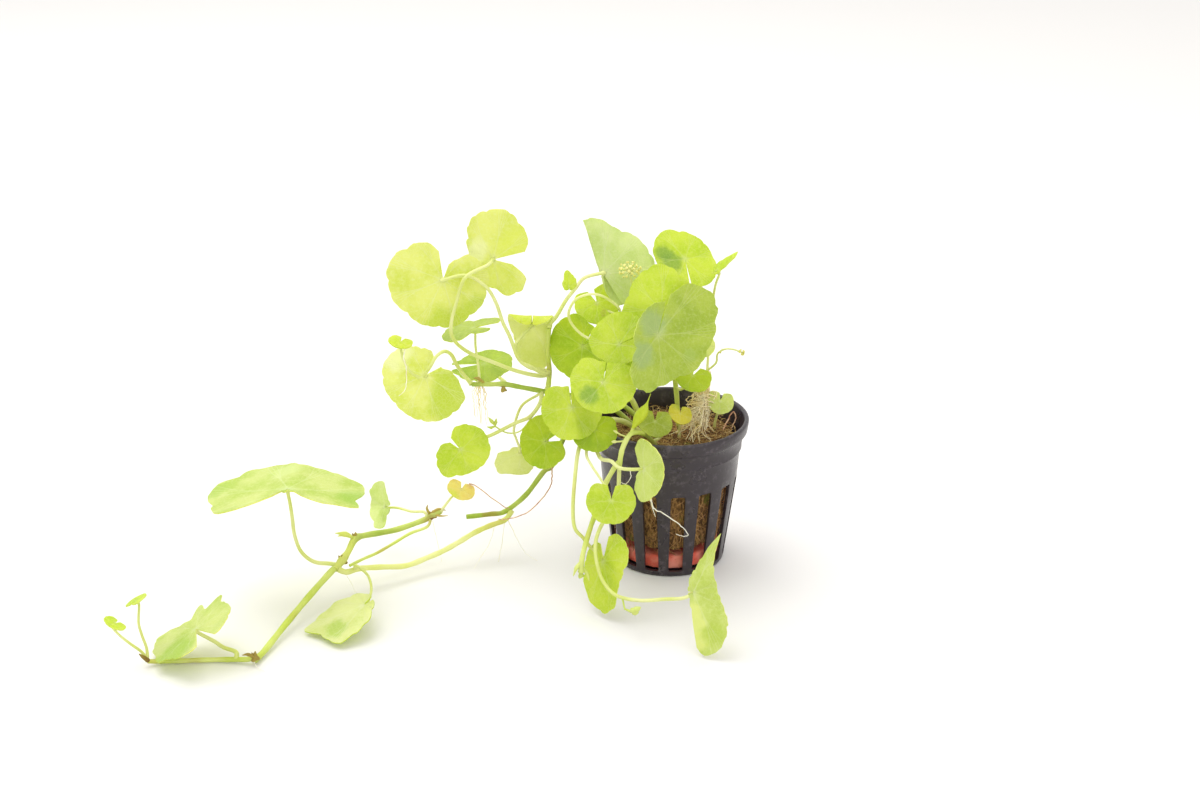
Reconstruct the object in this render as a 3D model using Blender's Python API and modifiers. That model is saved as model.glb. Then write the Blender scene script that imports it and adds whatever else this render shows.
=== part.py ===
"""Brazilian pennywort (Hydrocotyle leucocephala) in a 5 cm net pot.

The origin is the middle of the pot's base, on the surface that the pot stands on, and +Z is up.
Measures are in millimetres and degrees here and become metres when the meshes are made.
A leaf is a kidney-shaped blade on a stalk: the hub is where the stalk meets the blade,
the sinus is the notch behind it, and the tip lies opposite the sinus.
"""

import math

import bmesh
import bpy
from mathutils import Matrix, Vector

MM = 0.001

# Net pot
POT_HEIGHT = 50.0
RIM_RADIUS = 26.0
WALL = 1.1
FLOOR = 1.3
POT_STEPS = 30
WALL_LINE = ((0.0, 18.2), (1.0, 18.8), (28.7, 22.4), (37.8, 23.1), (45.6, 24.5))
LIP_TOP = (24.5, 25.6)
LIP_EDGE = 49.3
LIP_UNDERSIDE = (25.5, 46.0)
WALL_TOP = 45.6
BASE_RADIUS = 17.6
SLOT_COUNT = 15
SLOT_FIRST = 5.5
SLOT_WIDTH = 4.7
SLOT_BOTTOM = 2.0
SLOT_TOP = 30.5
BASE_SLOT_COUNT = 6
BASE_SLOT_INNER = 7.0
BASE_SLOT_OUTER = 14.5
BASE_SLOT_WIDTH = 3.0

SLOT_DEPTH = 12.0
SLOT_MIDDLE = 21.0
BASE_SLOT_CUT = 4.0

# Clay disc and rockwool plug inside the pot
GAP = 0.3
TURN_STEPS = 20
PLUG_BEVEL = 2.0
DISC_HEIGHT = 5.5
DISC_RADIUS = 17.0
PLUG_TOP = 45.0
PLUG_TOP_RADIUS = 22.3
PLUG_FOOT_RADIUS = 17.7

# Blades and stalks
BLADE_THICKNESS = 0.6
MID_RING = 0.56
SINUS_TURN = 166.0
LOBES = ((14.0, 8), (6.5, 6), (0.0, 5))
RING_REACH = 9.2
NOTCH_DEPTH = 0.06
CREASE = 0.22
STALK_DROP = 1.6
SMALL_STALK = 0.5
LARGE_STALK = 0.7
STALK_TOP_PART = 0.8
STALK_GAIN = 0.3
SPRIG_RADII = (0.35, 0.45, 1.4, 0.4)
SINUS_SHORTENING = 0.32
BASE_LOBES_FROM = 125.0
BASE_LOBES_SPAN = 41.0
BREADTH = 0.05

# Leaves: the hub, the way the upper side faces (azimuth from the front towards +X, elevation),
# the roll of the tip from downhill, the reach from hub to tip, and the stalk's route from the
# hub to its foot. fold lifts the halves left and right of the midrib, curl bends the tip and the
# sinus side, cup and wave are parts of the reach, outline holds (turn from the tip, reach) pairs.
# A sprig is a short bud shoot on the stalk.
LEAVES = {
    "leaf_left_large": dict(
        hub=(-72.4, -8, 99.6), face=(180, -12), roll=6, reach=15.5, cup=0.03,
        outline=[(-166, 0.62), (-150, 0.84), (-132, 0.97), (-110, 1.12), (-90, 1.19), (-68, 1.13),
                 (-36, 1.05), (0, 1.01), (50, 0.94), (95, 0.94), (121, 0.87), (140, 0.74),
                 (152, 0.5), (166, 0.35)],
        stalk=[(-65, -11, 102), (-59, -10, 98), (-56, -8, 92), (-54, -7, 85), (-52, -6, 80),
               (-49, -4, 71), (-45, -3, 68), (-41, -1, 65)]),
    "leaf_left_top": dict(
        hub=(-57, -1, 104), face=(180, -16), roll=90, reach=16.8, fold=(-8, 8),
        outline=[(-166, 0.66), (-149, 0.78), (-132, 0.86), (-113, 0.95), (-96, 1.02), (-80, 0.96),
                 (-66, 0.9), (-54, 0.8), (-40, 0.64), (-15, 0.48), (20, 0.55), (60, 0.6),
                 (92, 0.56), (114, 0.77), (131, 0.82), (148, 0.74), (166, 0.4)],
        stalk=[(-58.4, -9.6, 104.8), (-65, -13, 102), (-68, -12.4, 94), (-70, -13, 86), (-69.4, -8, 79),
               (-65, -3, 73), (-59, -2, 70), (-50, -1, 66), (-43, 0, 64)]),
    "leaf_left_flat": dict(
        hub=(-64, 3, 79.5), face=(-62, 74), roll=-40, reach=10, cup=-0.04, small=True,
        outline=[(-166, 0.66), (-120, 0.46), (-86, 0.34), (-63, 0.78), (-48, 0.96), (-12, 1.11),
                 (8, 1.06), (25, 0.86), (55, 0.73), (76, 0.5), (118, 0.63), (153, 0.92), (166, 0.86)],
        stalk=[(-63.6, 3, 73), (-63, 2.6, 68), (-62.6, 1.8, 63)]),
    "leaf_left_low": dict(
        hub=(-79, -10, 68), face=(180, -34), roll=46, reach=15, cup=0.03,
        outline=[(-160, 0.44), (-145, 0.56), (-128, 0.62), (-112, 0.7), (-96, 0.83), (-80, 0.91),
                 (-50, 0.95), (-11, 0.9), (15, 0.92), (47, 1.02), (85, 1.05), (105, 1.0),
                 (121, 0.8), (141, 0.6), (160, 0.4)],
        stalk=[(-77, -14, 72.4), (-75, -13, 75.6), (-72.6, -11, 76.6), (-70.6, -8.6, 74.6),
               (-69.4, -5, 70), (-68, 0, 65), (-66.6, 1.2, 62.6)]),
    "leaf_left_young": dict(
        hub=(-86, -14, 81), face=(40, 74), roll=-56, reach=3.8, small=True,
        stalk=[(-85, -14, 74), (-83, -15, 71), (-80.5, -14.5, 69)]),
    "leaf_left_inner": dict(
        hub=(-61.7, 13, 63.1), face=(-12, 72), roll=105, reach=10.4, fold=(-8, -8), sinus=172,
        outline=[(-172, 1.1), (-150, 0.84), (-104, 0.78), (-70, 0.92), (-42, 0.94), (-14, 0.95),
                 (18, 0.93), (39, 0.8), (81, 0.81), (114, 0.8), (152, 0.92), (172, 1.1)],
        stalk=[(-58, 11, 60.4), (-55.6, 6, 60.4), (-54.4, 2.2, 61)]),
    "leaf_left_cupped": dict(
        hub=(-45.1, 6, 79.6), face=(180, -10), roll=2, reach=9.4, cup=0.05, curl=(14, -170),
        sinus=178,
        outline=[(-178, 1.0), (-150, 1.02), (-125, 1.0), (-105, 0.9), (-84, 0.8), (-64, 0.78),
                 (-44, 0.86), (-30, 1.08), (-18, 1.36), (-4, 1.75), (6, 1.88), (15, 1.82),
                 (28, 1.4), (48, 0.93), (67, 0.68), (95, 0.7), (120, 0.85), (140, 1.0), (178, 1.0)],
        stalk=[(-48, 2.5, 77.4), (-50.6, 0.5, 74), (-49.4, -0.4, 70), (-46, -0.2, 67),
               (-42, 2, 65.2)]),
    "leaf_dark_left": dict(
        hub=(-28.6, -2, 75), face=(-22, 28), roll=-25, reach=11.2, cup=0.04, sinus=178,
        stalk=[(-26, 4, 71), (-22, 4, 67), (-18, 2, 65)]),
    "leaf_looped": dict(
        hub=(-24, 9, 86), face=(10, 40), roll=20, reach=7.4, small=True,
        stalk=[(-18.4, 6, 83.4), (-16.6, 0, 86.6), (-19, -5, 91), (-23, -8, 94.4), (-27, -9, 95),
               (-31, -9, 93), (-33, -9, 88.6), (-31.6, -8.6, 84.4), (-28, -9, 81), (-24, -9, 79.8),
               (-20.6, -8, 79.6), (-17.2, -5, 78.4), (-15.6, -2, 75), (-15.8, -0.6, 71.6)]),
    "leaf_bract": dict(
        hub=(-33, 1.6, 94), face=(-30, 21), roll=-168, reach=4.6, small=True,
        outline=[(-166, 0.25), (-109, 0.42), (-44, 0.64), (-9, 1.2), (18, 0.9), (40, 0.8),
                 (72, 0.63), (145, 0.3), (166, 0.25)],
        stalk=[(-32.4, 3, 93.6)]),
    "leaf_tall_folded": dict(
        hub=(-22, 7.5, 96.6), face=(173, -22), roll=160, reach=17.5, fold=(15, 140),
        outline=[(-166, 0.7), (-120, 0.98), (-90, 1.0), (-60, 0.94), (-35, 0.9), (-14, 0.96),
                 (-4, 1.09), (4, 1.09), (40, 0.95), (90, 1.0), (166, 0.7)],
        stalk=[(-28, 6, 95.6), (-31, 4, 92.6), (-34, 3, 89), (-37, 2, 84), (-39.4, 2, 81)]),
    "leaf_top_round": dict(
        hub=(4.6, 12, 100), face=(10, 38), roll=-175, reach=10.6, fold=(6, 6), sinus=178,
        outline=[(-178, 0.95), (-138, 0.9), (-94, 0.92), (-57, 1.1), (-40, 1.12), (-24, 1.1),
                 (2, 0.93), (31, 0.82), (60, 0.82), (89, 0.84), (115, 1.0), (135, 1.1), (178, 1.0)],
        stalk=[(4, 15, 94), (2, 12, 87), (-0.6, 8, 81)]),
    "leaf_top_edge": dict(
        hub=(14.2, 2, 99.2), face=(-60, 40), roll=157, reach=8, small=True,
        outline=[(-166, 0.16), (-132, 0.2), (-68, 0.32), (-32, 0.49), (-12, 0.77), (-5, 1.03),
                 (0, 1.24), (8, 1.0), (16, 0.56), (40, 0.26), (148, 0.14), (166, 0.14)],
        stalk=[(14.4, 6, 93.5), (14, 11, 87), (13.4, 14, 76), (13, 14, 66), (12.4, 12, 56),
               (11, 9, 46)]),
    "leaf_crown_upper": dict(
        hub=(-3.6, -9, 89.6), face=(-12, 25), roll=160, reach=14.6, fold=(-6, -8), sinus=178,
        outline=[(-178, 0.8), (-160, 1.02), (-143, 1.2), (-123, 0.99), (-110, 0.87), (-90, 0.85),
                 (-66, 0.93), (-46, 1.01), (-32, 1.05), (-13, 0.98), (7, 0.88), (32, 0.8),
                 (68, 0.7), (114, 0.66), (178, 0.7)],
        stalk=[(-3, -3, 85), (-2.4, 2, 81.6), (-2.4, 4, 80.6)]),
    "leaf_crown_middle": dict(
        hub=(-17, -14, 80), face=(-25, 30), roll=-57, reach=10, cup=0.05, sinus=178,
        outline=[(-178, 0.9), (-138, 0.82), (-89, 0.68), (-24, 0.7), (8, 0.93), (33, 1.03),
                 (55, 1.06), (78, 1.03), (115, 1.08), (144, 1.08), (178, 0.95)],
        stalk=[(-17.4, -8, 76), (-18.4, -3, 73), (-18.4, -0.8, 70)]),
    "leaf_crown_low": dict(
        hub=(-22, -24.6, 71.4), face=(5, 33), roll=-12, reach=10, cup=-0.05, sinus=178,
        stalk=[(-20, -14, 66), (-18, -8, 64), (-16, -1, 62)]),
    "leaf_crown_dark": dict(
        hub=(-8, -3, 70.6), face=(15, 30), roll=0, reach=7.5, small=True,
        stalk=[(-5, 1, 69), (-1.6, 3.8, 68.4)]),
    "leaf_front_large": dict(
        hub=(-5, -20, 85.4), face=(15, 26), roll=-22, reach=20.5, fold=(0, 14), sinus=178,
        outline=[(-178, 0.7), (-161, 0.99), (-141, 1.12), (-132, 1.1), (-119, 0.95), (-90, 0.84),
                 (-68, 0.8), (-37, 0.73), (-19, 0.78), (-3, 0.93), (10, 0.9), (22, 0.77),
                 (31, 0.59), (44, 0.43), (84, 0.41), (113, 0.4), (144, 0.46), (161, 0.5),
                 (178, 0.54)],
        stalk=[(-3, -18.6, 77.6), (-1, -16.4, 73.6), (2, -8, 71.6), (1.2, 2.8, 71.6)]),
    "leaf_rim_folded": dict(
        hub=(-32, -20, 61), face=(-6, 25), roll=8, reach=10.6, fold=(-34, -22), sinus=177,
        stalk=[(-31, -13, 60), (-31, -6, 58), (-33, 0, 56.4)]),
    "leaf_rim_dark": dict(
        hub=(-41, -8, 44), face=(-25, 31), roll=-63, reach=8.8, cup=0.05,
        stalk=[(-40, -3, 46), (-38, 0, 51), (-38.6, 0.6, 54.6)]),
    "leaf_rim_round": dict(
        hub=(-25, -19, 53), face=(10, 35), roll=-16, reach=7.4, cup=-0.05,
        stalk=[(-24.2, -16, 52.4)]),
    "leaf_hanging_round": dict(
        hub=(-68.4, -10, 42), face=(10, 36), roll=43, reach=9, sinus=172,
        outline=[(-172, 0.6), (-143, 0.89), (-115, 1.02), (-84, 1.09), (-52, 1.11), (-13, 1.02),
                 (26, 0.92), (52, 0.98), (77, 1.16), (101, 1.07), (118, 0.96), (147, 0.76),
                 (172, 0.5)],
        stalk=[(-62, -6, 44), (-58, -4, 45), (-51, -2, 48), (-46, -1, 50), (-42.6, 0, 54.6)]),
    "leaf_hanging_pale": dict(
        hub=(-50, 8, 33), face=(180, -40), roll=0, reach=6, small=True,
        outline=[(-166, 0.35), (-105, 0.6), (-86, 1.3), (-60, 1.6), (-46, 1.7), (-19, 1.33),
                 (0, 1.28), (21, 1.32), (34, 1.25), (60, 0.9), (166, 0.5)],
        stalk=[(-50, 5.6, 36), (-51, 4, 40), (-51.6, 3, 44), (-49, 3, 52), (-43.6, 3, 56)]),
    "leaf_yellow": dict(
        hub=(-69, -6, 26), face=(40, 60), roll=-46, reach=4.6, small=True,
        stalk=[(-72, -5, 23), (-75, -5, 19)]),
    "leaf_arched_large": dict(
        hub=(-120, -40, 41.6), face=(180, 87), roll=0, reach=22.5, fold=(-15, -14), wave=0.01,
        outline=[(-166, 0.08), (-125, 0.1), (-117, 0.6), (-112, 0.9), (-105, 1.03), (-96, 1.1),
                 (-82, 1.2), (-65, 1.42), (-52, 1.54), (-42, 1.43), (-33, 1.48), (-24, 1.31),
                 (-18, 1.25), (-7, 1.1), (4, 1.0), (14, 1.03), (25, 1.06), (34, 1.13), (43, 1.2),
                 (53, 1.23), (65, 1.13), (80, 0.98), (94, 1.02), (103, 0.6), (124, 0.12),
                 (166, 0.08)],
        stalk=[(-120, -38, 36), (-120, -36, 30), (-120, -34, 23), (-118.6, -32, 16),
               (-115, -30, 11.4), (-110, -28.6, 10)]),
    "leaf_upright_small": dict(
        hub=(-95.1, -1.6, 17.4), face=(-32, 29), roll=-74, reach=7.7, fold=(10, 10), small=True,
        outline=[(-166, 0.3), (-115, 0.4), (-92, 0.96), (-68, 1.02), (-51, 0.8), (-20, 0.8),
                 (28, 0.76), (49, 1.1), (72, 1.18), (90, 1.14), (101, 0.6), (125, 0.35),
                 (166, 0.3)],
        stalk=[(-91, -1, 16.8), (-86, -3.4, 16.6), (-81.8, -4.2, 16.8)]),
    "leaf_floor_pointed": dict(
        hub=(-96.6, -52, 7.6), face=(-47, 70), roll=-6, reach=20, small=True,
        outline=[(-158, 0.17), (-102, 0.19), (-61, 0.44), (-41, 0.66), (-29, 0.84), (-13, 0.83),
                 (3, 0.86), (19, 1.0), (30, 0.78), (53, 0.58), (86, 0.35), (146, 0.25),
                 (158, 0.2)],
        stalk=[(-95, -46, 9), (-96, -40, 10), (-98, -35, 10.1), (-101.6, -30.6, 10.4)]),
    "leaf_far_folded": dict(
        hub=(-144.6, -72, 10.2), face=(-84, 60), roll=-68, reach=14.2,
        outline=[(-166, 0.92), (-157, 0.97), (-138, 0.95), (-112, 0.92), (-98, 1.06), (-78, 1.04),
                 (-57, 1.14), (-37, 1.3), (-28, 1.1), (-16, 0.76), (4, 0.62), (22, 1.08),
                 (33, 0.76), (49, 1.16), (62, 0.86), (88, 0.86), (138, 0.88), (166, 1.0)],
        stalk=[(-140, -70, 5), (-137, -71, 3.4), (-133, -73, 3)]),
    "leaf_tip_first": dict(
        hub=(-167, -78, 15.6), face=(99, 61), roll=-121, reach=3.4, small=True,
        stalk=[(-166, -77.4, 11), (-163.4, -76.4, 7.6), (-160.6, -75.6, 4.4)]),
    "leaf_tip_second": dict(
        hub=(-162, -71, 19.4), face=(-99, 61), roll=-115, reach=3.6, small=True,
        stalk=[(-161.4, -73, 13), (-160.6, -73.6, 9), (-159.4, -74.4, 5)]),
    "leaf_front_folded": dict(
        hub=(-9.4, -37.6, 47.6), face=(-54, 10), roll=104, reach=9.8, fold=(8, 8),
        outline=[(-166, 0.2), (-135, 0.4), (-110, 0.8), (-88, 1.0), (-50, 1.02), (0, 1.06),
                 (50, 1.06), (88, 1.05), (110, 0.85), (135, 0.45), (166, 0.2)],
        stalk=[(-13, -34.4, 46), (-17, -33.6, 46.2), (-19.6, -29.4, 46.6), (-22.6, -23.6, 44.8),
               (-24.2, -19, 46), (-24.8, -16.6, 49)]),
    "leaf_front_kidney": dict(
        hub=(-19.6, -40.4, 38), face=(5, 30), roll=-5, reach=7.5, small=True,
        stalk=[(-20.4, -37, 39.4), (-22.6, -33.8, 42), (-26, -28, 45), (-27.4, -22.4, 46.2),
               (-26.4, -17.4, 50)]),
    "leaf_floor_standing": dict(
        hub=(-22, -42.4, 18), face=(-45, 12), roll=8, reach=14.4,
        outline=[(-166, 0.63), (-150, 0.78), (-125, 0.84), (-100, 0.74), (-80, 0.64), (-55, 0.62),
                 (-38, 0.76), (-20, 1.06), (-6, 1.18), (12, 1.07), (39, 0.88), (62, 0.6),
                 (95, 0.5), (143, 0.46), (166, 0.4)],
        stalk=[(-26, -38.6, 21), (-28.4, -38, 24), (-31, -37, 27), (-31.6, -33, 32), (-31, -28, 40),
               (-30, -21.4, 46.4), (-28, -16.6, 50)]),
    "leaf_floor_tall": dict(
        hub=(5.4, -63.5, 18.2), face=(-26, 20), roll=99, reach=18.8, sinus=172,
        outline=[(-172, 0.1), (-132, 0.13), (-102, 0.26), (-87, 0.38), (-76, 0.59), (-70, 0.83),
                 (-65, 1.09), (-61, 0.75), (-53, 0.56), (-33, 0.43), (-10, 0.41), (12, 0.48),
                 (26, 0.59), (33, 0.7), (41, 0.81), (51, 0.9), (63, 1.0), (72, 1.05), (80, 1.05),
                 (86, 0.94), (91, 0.49), (96, 0.27), (123, 0.12), (172, 0.1)],
        stalk=[(2.4, -63, 16), (-3, -60, 14), (-11, -56, 11.4), (-18, -52, 11), (-22, -48.6, 14),
               (-24, -45.6, 19), (-24.4, -42, 24.4), (-22.4, -38.6, 29), (-19, -35.6, 32),
               (-17.4, -33, 37), (-17, -30.4, 43.6)],
        sprig=[(-16.2, -53, 11.1), (-15.4, -56, 8.4), (-13.4, -58, 8.6), (-11.4, -58.6, 10.4)]),
    "leaf_pot_round": dict(
        hub=(-5.4, -15, 54), face=(21, 47), roll=-16, reach=5.6, small=True,
        stalk=[(-4, -11, 50), (-3.6, -9, 46)]),
    "leaf_pot_yellow": dict(
        hub=(3, -8, 54), face=(33, 44), roll=-27, reach=4, small=True,
        stalk=[(3, -5.4, 50), (3, -4, 46)]),
    "leaf_pot_pale": dict(
        hub=(16.4, -1, 55.4), face=(12, 34), roll=-16, reach=4.4, small=True,
        stalk=[(16, 2, 51), (15, 3, 46)]),
    "leaf_pot_dark": dict(
        hub=(7, -4, 65.6), face=(20, 50), roll=-43, reach=6.2, small=True,
        stalk=[(6, 0, 61), (3.6, 3, 58)]),
    "leaf_right_pale": dict(
        hub=(11, 8.5, 71.6), face=(30, 30), roll=0, reach=4.2, small=True,
        stalk=[(8, 9, 69), (2.6, 6.6, 68)]),
}

# Stems and runners: the route, the radius at its first and last point, and buds as (place, radius)
STEMS = {
    "stem_upright_left": dict(
        route=[(-8, 0, 45.6), (-12, 1, 54), (-16, 1, 62), (-17, 1, 70)], radius=(0.95, 0.85)),
    "stem_upright_back": dict(
        route=[(3, 4, 45.6), (2, 5, 58), (0, 5, 70), (-2, 6, 79.6)], radius=(0.9, 0.75)),
    "stem_upright_outer": dict(
        route=[(-40, 1.6, 60), (-39.6, 1.6, 65), (-40, 1.4, 73), (-39.6, 1, 80)],
        radius=(0.9, 0.8)),
    "stem_over_rim": dict(
        route=[(-10, -4, 45.8), (-15, -8, 51), (-19.6, -12, 53.4), (-22, -13.6, 52.8)],
        radius=(0.9, 0.9)),
    "stem_over_front": dict(
        route=[(-6, -12, 45.8), (-9, -18, 51), (-13, -23, 53.4), (-15.6, -27, 51),
               (-16.6, -29, 47.6), (-17, -30, 44.6)], radius=(0.75, 0.85)),
    "stem_front_buds": dict(
        route=[(-18.6, -30, 44.4), (-21, -30.6, 40), (-22, -32, 37), (-23.6, -34.6, 33),
               (-25.8, -38.4, 28.6), (-28.4, -43.4, 21), (-29, -45, 15.4)], radius=(0.8, 0.8),
        buds=[((-29, -45, 14.6), 1.4)]),
    "runner_upper": dict(
        route=[(-14, 6, 45.8), (-20, 6, 51), (-28, 4, 55), (-36, 2, 56.4), (-41, 1, 58),
               (-49, 0, 60), (-54, 0, 61), (-59, 0, 61), (-65, 0, 61)], radius=(0.95, 0.75),
        buds=[((-54.6, -0.6, 59.6), 1.4)]),
    "runner_lower": dict(
        route=[(-12, 12, 45.8), (-18, 14, 50), (-24, 13, 53), (-31, 8, 48), (-36, 4, 38),
               (-39, 2, 31), (-42, 1, 29), (-48, 0, 21), (-55, 0, 15), (-60, 0, 14),
               (-68, 0, 13)], radius=(0.9, 0.85)),
    "runner_pale": dict(
        route=[(-55, -2.4, 13), (-60, -4, 11.6), (-65, -6, 10), (-70, -9, 8), (-75, -12, 6.3),
               (-81, -16, 5.3), (-87, -20, 4.8), (-95, -24, 6.4), (-101, -27, 7.4),
               (-105, -29, 7.2)], radius=(0.9, 0.95)),
    "runner_dark": dict(
        route=[(-76, -5, 17.4), (-79, -5, 16), (-82, -6, 14.6), (-91, -10, 13), (-100, -16, 14),
               (-103, -20, 14.6), (-105, -25, 12), (-107.6, -29, 9.6)], radius=(0.85, 1.15),
        buds=[((-79, -5, 16), 1.8), ((-103, -19.6, 15), 1.9), ((-106.6, -27, 10.4), 2.2)]),
    "runner_thin": dict(
        route=[(-80.6, -7.6, 13), (-86, -10.6, 12), (-91, -15, 10.6), (-96, -19.6, 9.4),
               (-100, -24, 9.4)], radius=(0.5, 0.5)),
    "runner_floor": dict(
        route=[(-109.6, -31.6, 8.6), (-115, -43, 6), (-121, -57, 2.9), (-125, -70, 1.6),
               (-127, -75, 1.5)], radius=(1.1, 0.95), buds=[((-127, -75, 2.5), 1.8)]),
    "runner_tip": dict(
        route=[(-129.6, -75, 1.6), (-136, -74.2, 1.1), (-144, -74.4, 1.0), (-152, -75, 1.0),
               (-159, -76.2, 1.6)], radius=(0.85, 0.7)),
}

# Colours as linear red, green and blue, with the surface's roughness
GREEN = ((0.46, 0.68, 0.06), 0.45)
PALE_GREEN = ((0.62, 0.76, 0.20), 0.5)
STEM_GREEN = ((0.50, 0.64, 0.08), 0.45)
PLASTIC = ((0.035, 0.03, 0.038), 0.4)
ROCKWOOL = ((0.25, 0.16, 0.05), 0.95)
CLAY = ((0.55, 0.11, 0.07), 0.9)
ROOT = ((0.75, 0.66, 0.36), 0.8)


def clear_scene():
    """Remove whatever the scene starts with."""
    for thing in list(bpy.data.objects):
        bpy.data.objects.remove(thing, do_unlink=True)


def make_collection(name):
    """A collection under the scene's own one."""
    collection = bpy.data.collections.new(name)
    bpy.context.scene.collection.children.link(collection)
    return collection


def make_material(name, look):
    """A plain Principled material."""
    colour, roughness = look
    material = bpy.data.materials.new(name)
    material.use_nodes = True
    shader = material.node_tree.nodes["Principled BSDF"]
    shader.inputs["Base Color"].default_value = (*colour, 1.0)
    shader.inputs["Roughness"].default_value = roughness
    shader.inputs["Metallic"].default_value = 0.0
    return material


def add_object(name, mesh, collection, look=None):
    """An object for a mesh, with its own material if it has a look."""
    thing = bpy.data.objects.new(name, mesh)
    collection.objects.link(thing)
    if look:
        mesh.materials.clear()
        mesh.materials.append(make_material(name, look))
    return thing


def mesh_from(bm, name):
    """The mesh of a bmesh, in metres."""
    bmesh.ops.scale(bm, vec=(MM, MM, MM), verts=bm.verts)
    mesh = bpy.data.meshes.new(name)
    bm.to_mesh(mesh)
    bm.free()
    return mesh


def evaluated_mesh(thing):
    """A new mesh of the object with its modifiers applied."""
    graph = bpy.context.evaluated_depsgraph_get()
    return bpy.data.meshes.new_from_object(thing.evaluated_get(graph))


def hide_helper(thing):
    """Mark an object as a cutter or a guide."""
    thing.hide_render = True
    thing.display_type = "WIRE"


def smooth_step(value):
    """0 below 0, 1 above 1, smooth between."""
    value = min(max(value, 0.0), 1.0)
    return value * value * (3.0 - 2.0 * value)


def smooth_route(points, pieces):
    """Points along a Catmull-Rom curve through the route's own points."""
    points = [Vector(p) for p in points]
    padded = [2 * points[0] - points[1], *points, 2 * points[-1] - points[-2]]
    curve = []
    for a, b, c, d in zip(padded, padded[1:], padded[2:], padded[3:]):
        for step in range(pieces):
            t = step / pieces
            curve.append(0.5 * (2 * b + (c - a) * t + (2 * a - 5 * b + 4 * c - d) * t**2
                                + (3 * b - a - 3 * c + d) * t**3))
    curve.append(points[-1])
    return curve


def tube_mesh(name, points, radii, resolution):
    """A round tube along points, with closed ends."""
    curve = bpy.data.curves.new(name, "CURVE")
    curve.dimensions = "3D"
    curve.bevel_depth = MM
    curve.bevel_resolution = resolution
    curve.use_fill_caps = True
    spline = curve.splines.new("POLY")
    spline.points.add(len(points) - 1)
    for place, point, radius in zip(spline.points, points, radii):
        place.co = (*(Vector(point) * MM), 1.0)
        place.radius = radius
    guide = bpy.data.objects.new(name, curve)
    bpy.context.scene.collection.objects.link(guide)
    mesh = evaluated_mesh(guide)
    bpy.data.objects.remove(guide, do_unlink=True)
    bm = bmesh.new()
    bm.from_mesh(mesh)
    bmesh.ops.remove_doubles(bm, verts=bm.verts, dist=0.00002)
    bmesh.ops.recalc_face_normals(bm, faces=bm.faces)
    bm.to_mesh(mesh)
    bm.free()
    return mesh


def ball_mesh(name, place, radius, stretch=1.0):
    """A small ball, stretched along Z."""
    bm = bmesh.new()
    matrix = Matrix.Translation(place) @ Matrix.Diagonal((1.0, 1.0, stretch, 1.0))
    bmesh.ops.create_icosphere(bm, subdivisions=1, radius=radius, matrix=matrix)
    return mesh_from(bm, name)


def fuse(name, meshes, collection, look):
    """One solid from overlapping closed meshes."""
    body = add_object(name, meshes[0], collection, look)
    helpers = []
    for number, mesh in enumerate(meshes[1:]):
        helper = add_object(f"{name}_join_{number}", mesh, collection)
        hide_helper(helper)
        union = body.modifiers.new("join", "BOOLEAN")
        union.operation = "UNION"
        union.solver = "EXACT"
        union.object = helper
        helpers.append(helper)
    if helpers:
        body.data = evaluated_mesh(body)
        body.modifiers.clear()
        body.data.materials.clear()
        body.data.materials.append(bpy.data.materials[name])
    for helper in helpers:
        bpy.data.objects.remove(helper, do_unlink=True)
    return body


def blade_frame(leaf):
    """The blade's directions: across, towards the tip, and out of the upper side."""
    azimuth, elevation = (math.radians(a) for a in leaf["face"])
    normal = Vector((math.sin(azimuth) * math.cos(elevation),
                     -math.cos(azimuth) * math.cos(elevation), math.sin(elevation)))
    downhill = Vector((math.sin(azimuth) * math.sin(elevation),
                       -math.cos(azimuth) * math.sin(elevation), -math.cos(elevation)))
    roll = math.radians(leaf["roll"])
    tip = downhill * math.cos(roll) + normal.cross(downhill) * math.sin(roll)
    return tip.cross(normal), tip, normal


def margin_reach(leaf, turn):
    """How far the margin is from the hub, as a part of the reach, at a turn from the tip."""
    outline = leaf.get("outline")
    if outline:
        for (turn_a, reach_a), (turn_b, reach_b) in zip(outline, outline[1:]):
            if turn <= turn_b or turn_b == outline[-1][0]:
                share = smooth_step((turn - turn_a) / (turn_b - turn_a))
                return reach_a + (reach_b - reach_a) * share
    away = abs(turn)
    broad = BREADTH * math.sin(math.radians(away)) ** 2
    return 1.0 + broad - SINUS_SHORTENING * smooth_step((away - BASE_LOBES_FROM) / BASE_LOBES_SPAN)


def blade_point(leaf, turn, share, notch):
    """A point of the blade, from its turn from the tip and its share of the way to the margin."""
    size = leaf["reach"]
    reach = size * share * margin_reach(leaf, turn) * (1.0 - notch * share * NOTCH_DEPTH)
    angle = math.radians(turn)
    across = reach * math.sin(angle)
    along = reach * math.cos(angle)
    part = reach / size
    lift = size * part**2 * (leaf.get("cup", 0.0)
                             + leaf.get("wave", 0.0) * math.sin(5.0 * angle))
    fold = leaf.get("fold", (0.0, 0.0))[across > 0]
    side = math.copysign(1.0, across)
    bend = math.radians(fold) * smooth_step(abs(across) / (CREASE * size))
    out = abs(across) * math.cos(bend) - lift * math.sin(bend)
    up = abs(across) * math.sin(bend) + lift * math.cos(bend)
    curl = math.radians(leaf.get("curl", (0.0, 0.0))[along < 0]) / size
    if abs(curl) > 1e-6:
        arc = curl * abs(along)
        turned = (1.0 / curl - up) * math.sin(arc)
        up = 1.0 / curl - (1.0 / curl - up) * math.cos(arc)
        along = math.copysign(turned, along)
    x_way, y_way, z_way = blade_frame(leaf)
    return Vector(leaf["hub"]) + x_way * out * side + y_way * along + z_way * up


def margin_turns(leaf):
    """The turns of the margin's corners: a crest and a notch for every lobe."""
    lobes = next(number for least, number in LOBES if leaf["reach"] >= least)
    count = 2 * lobes
    sinus = leaf.get("sinus", SINUS_TURN)
    return [sinus * (2.0 * step / count - 1.0) for step in range(count + 1)]


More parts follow.
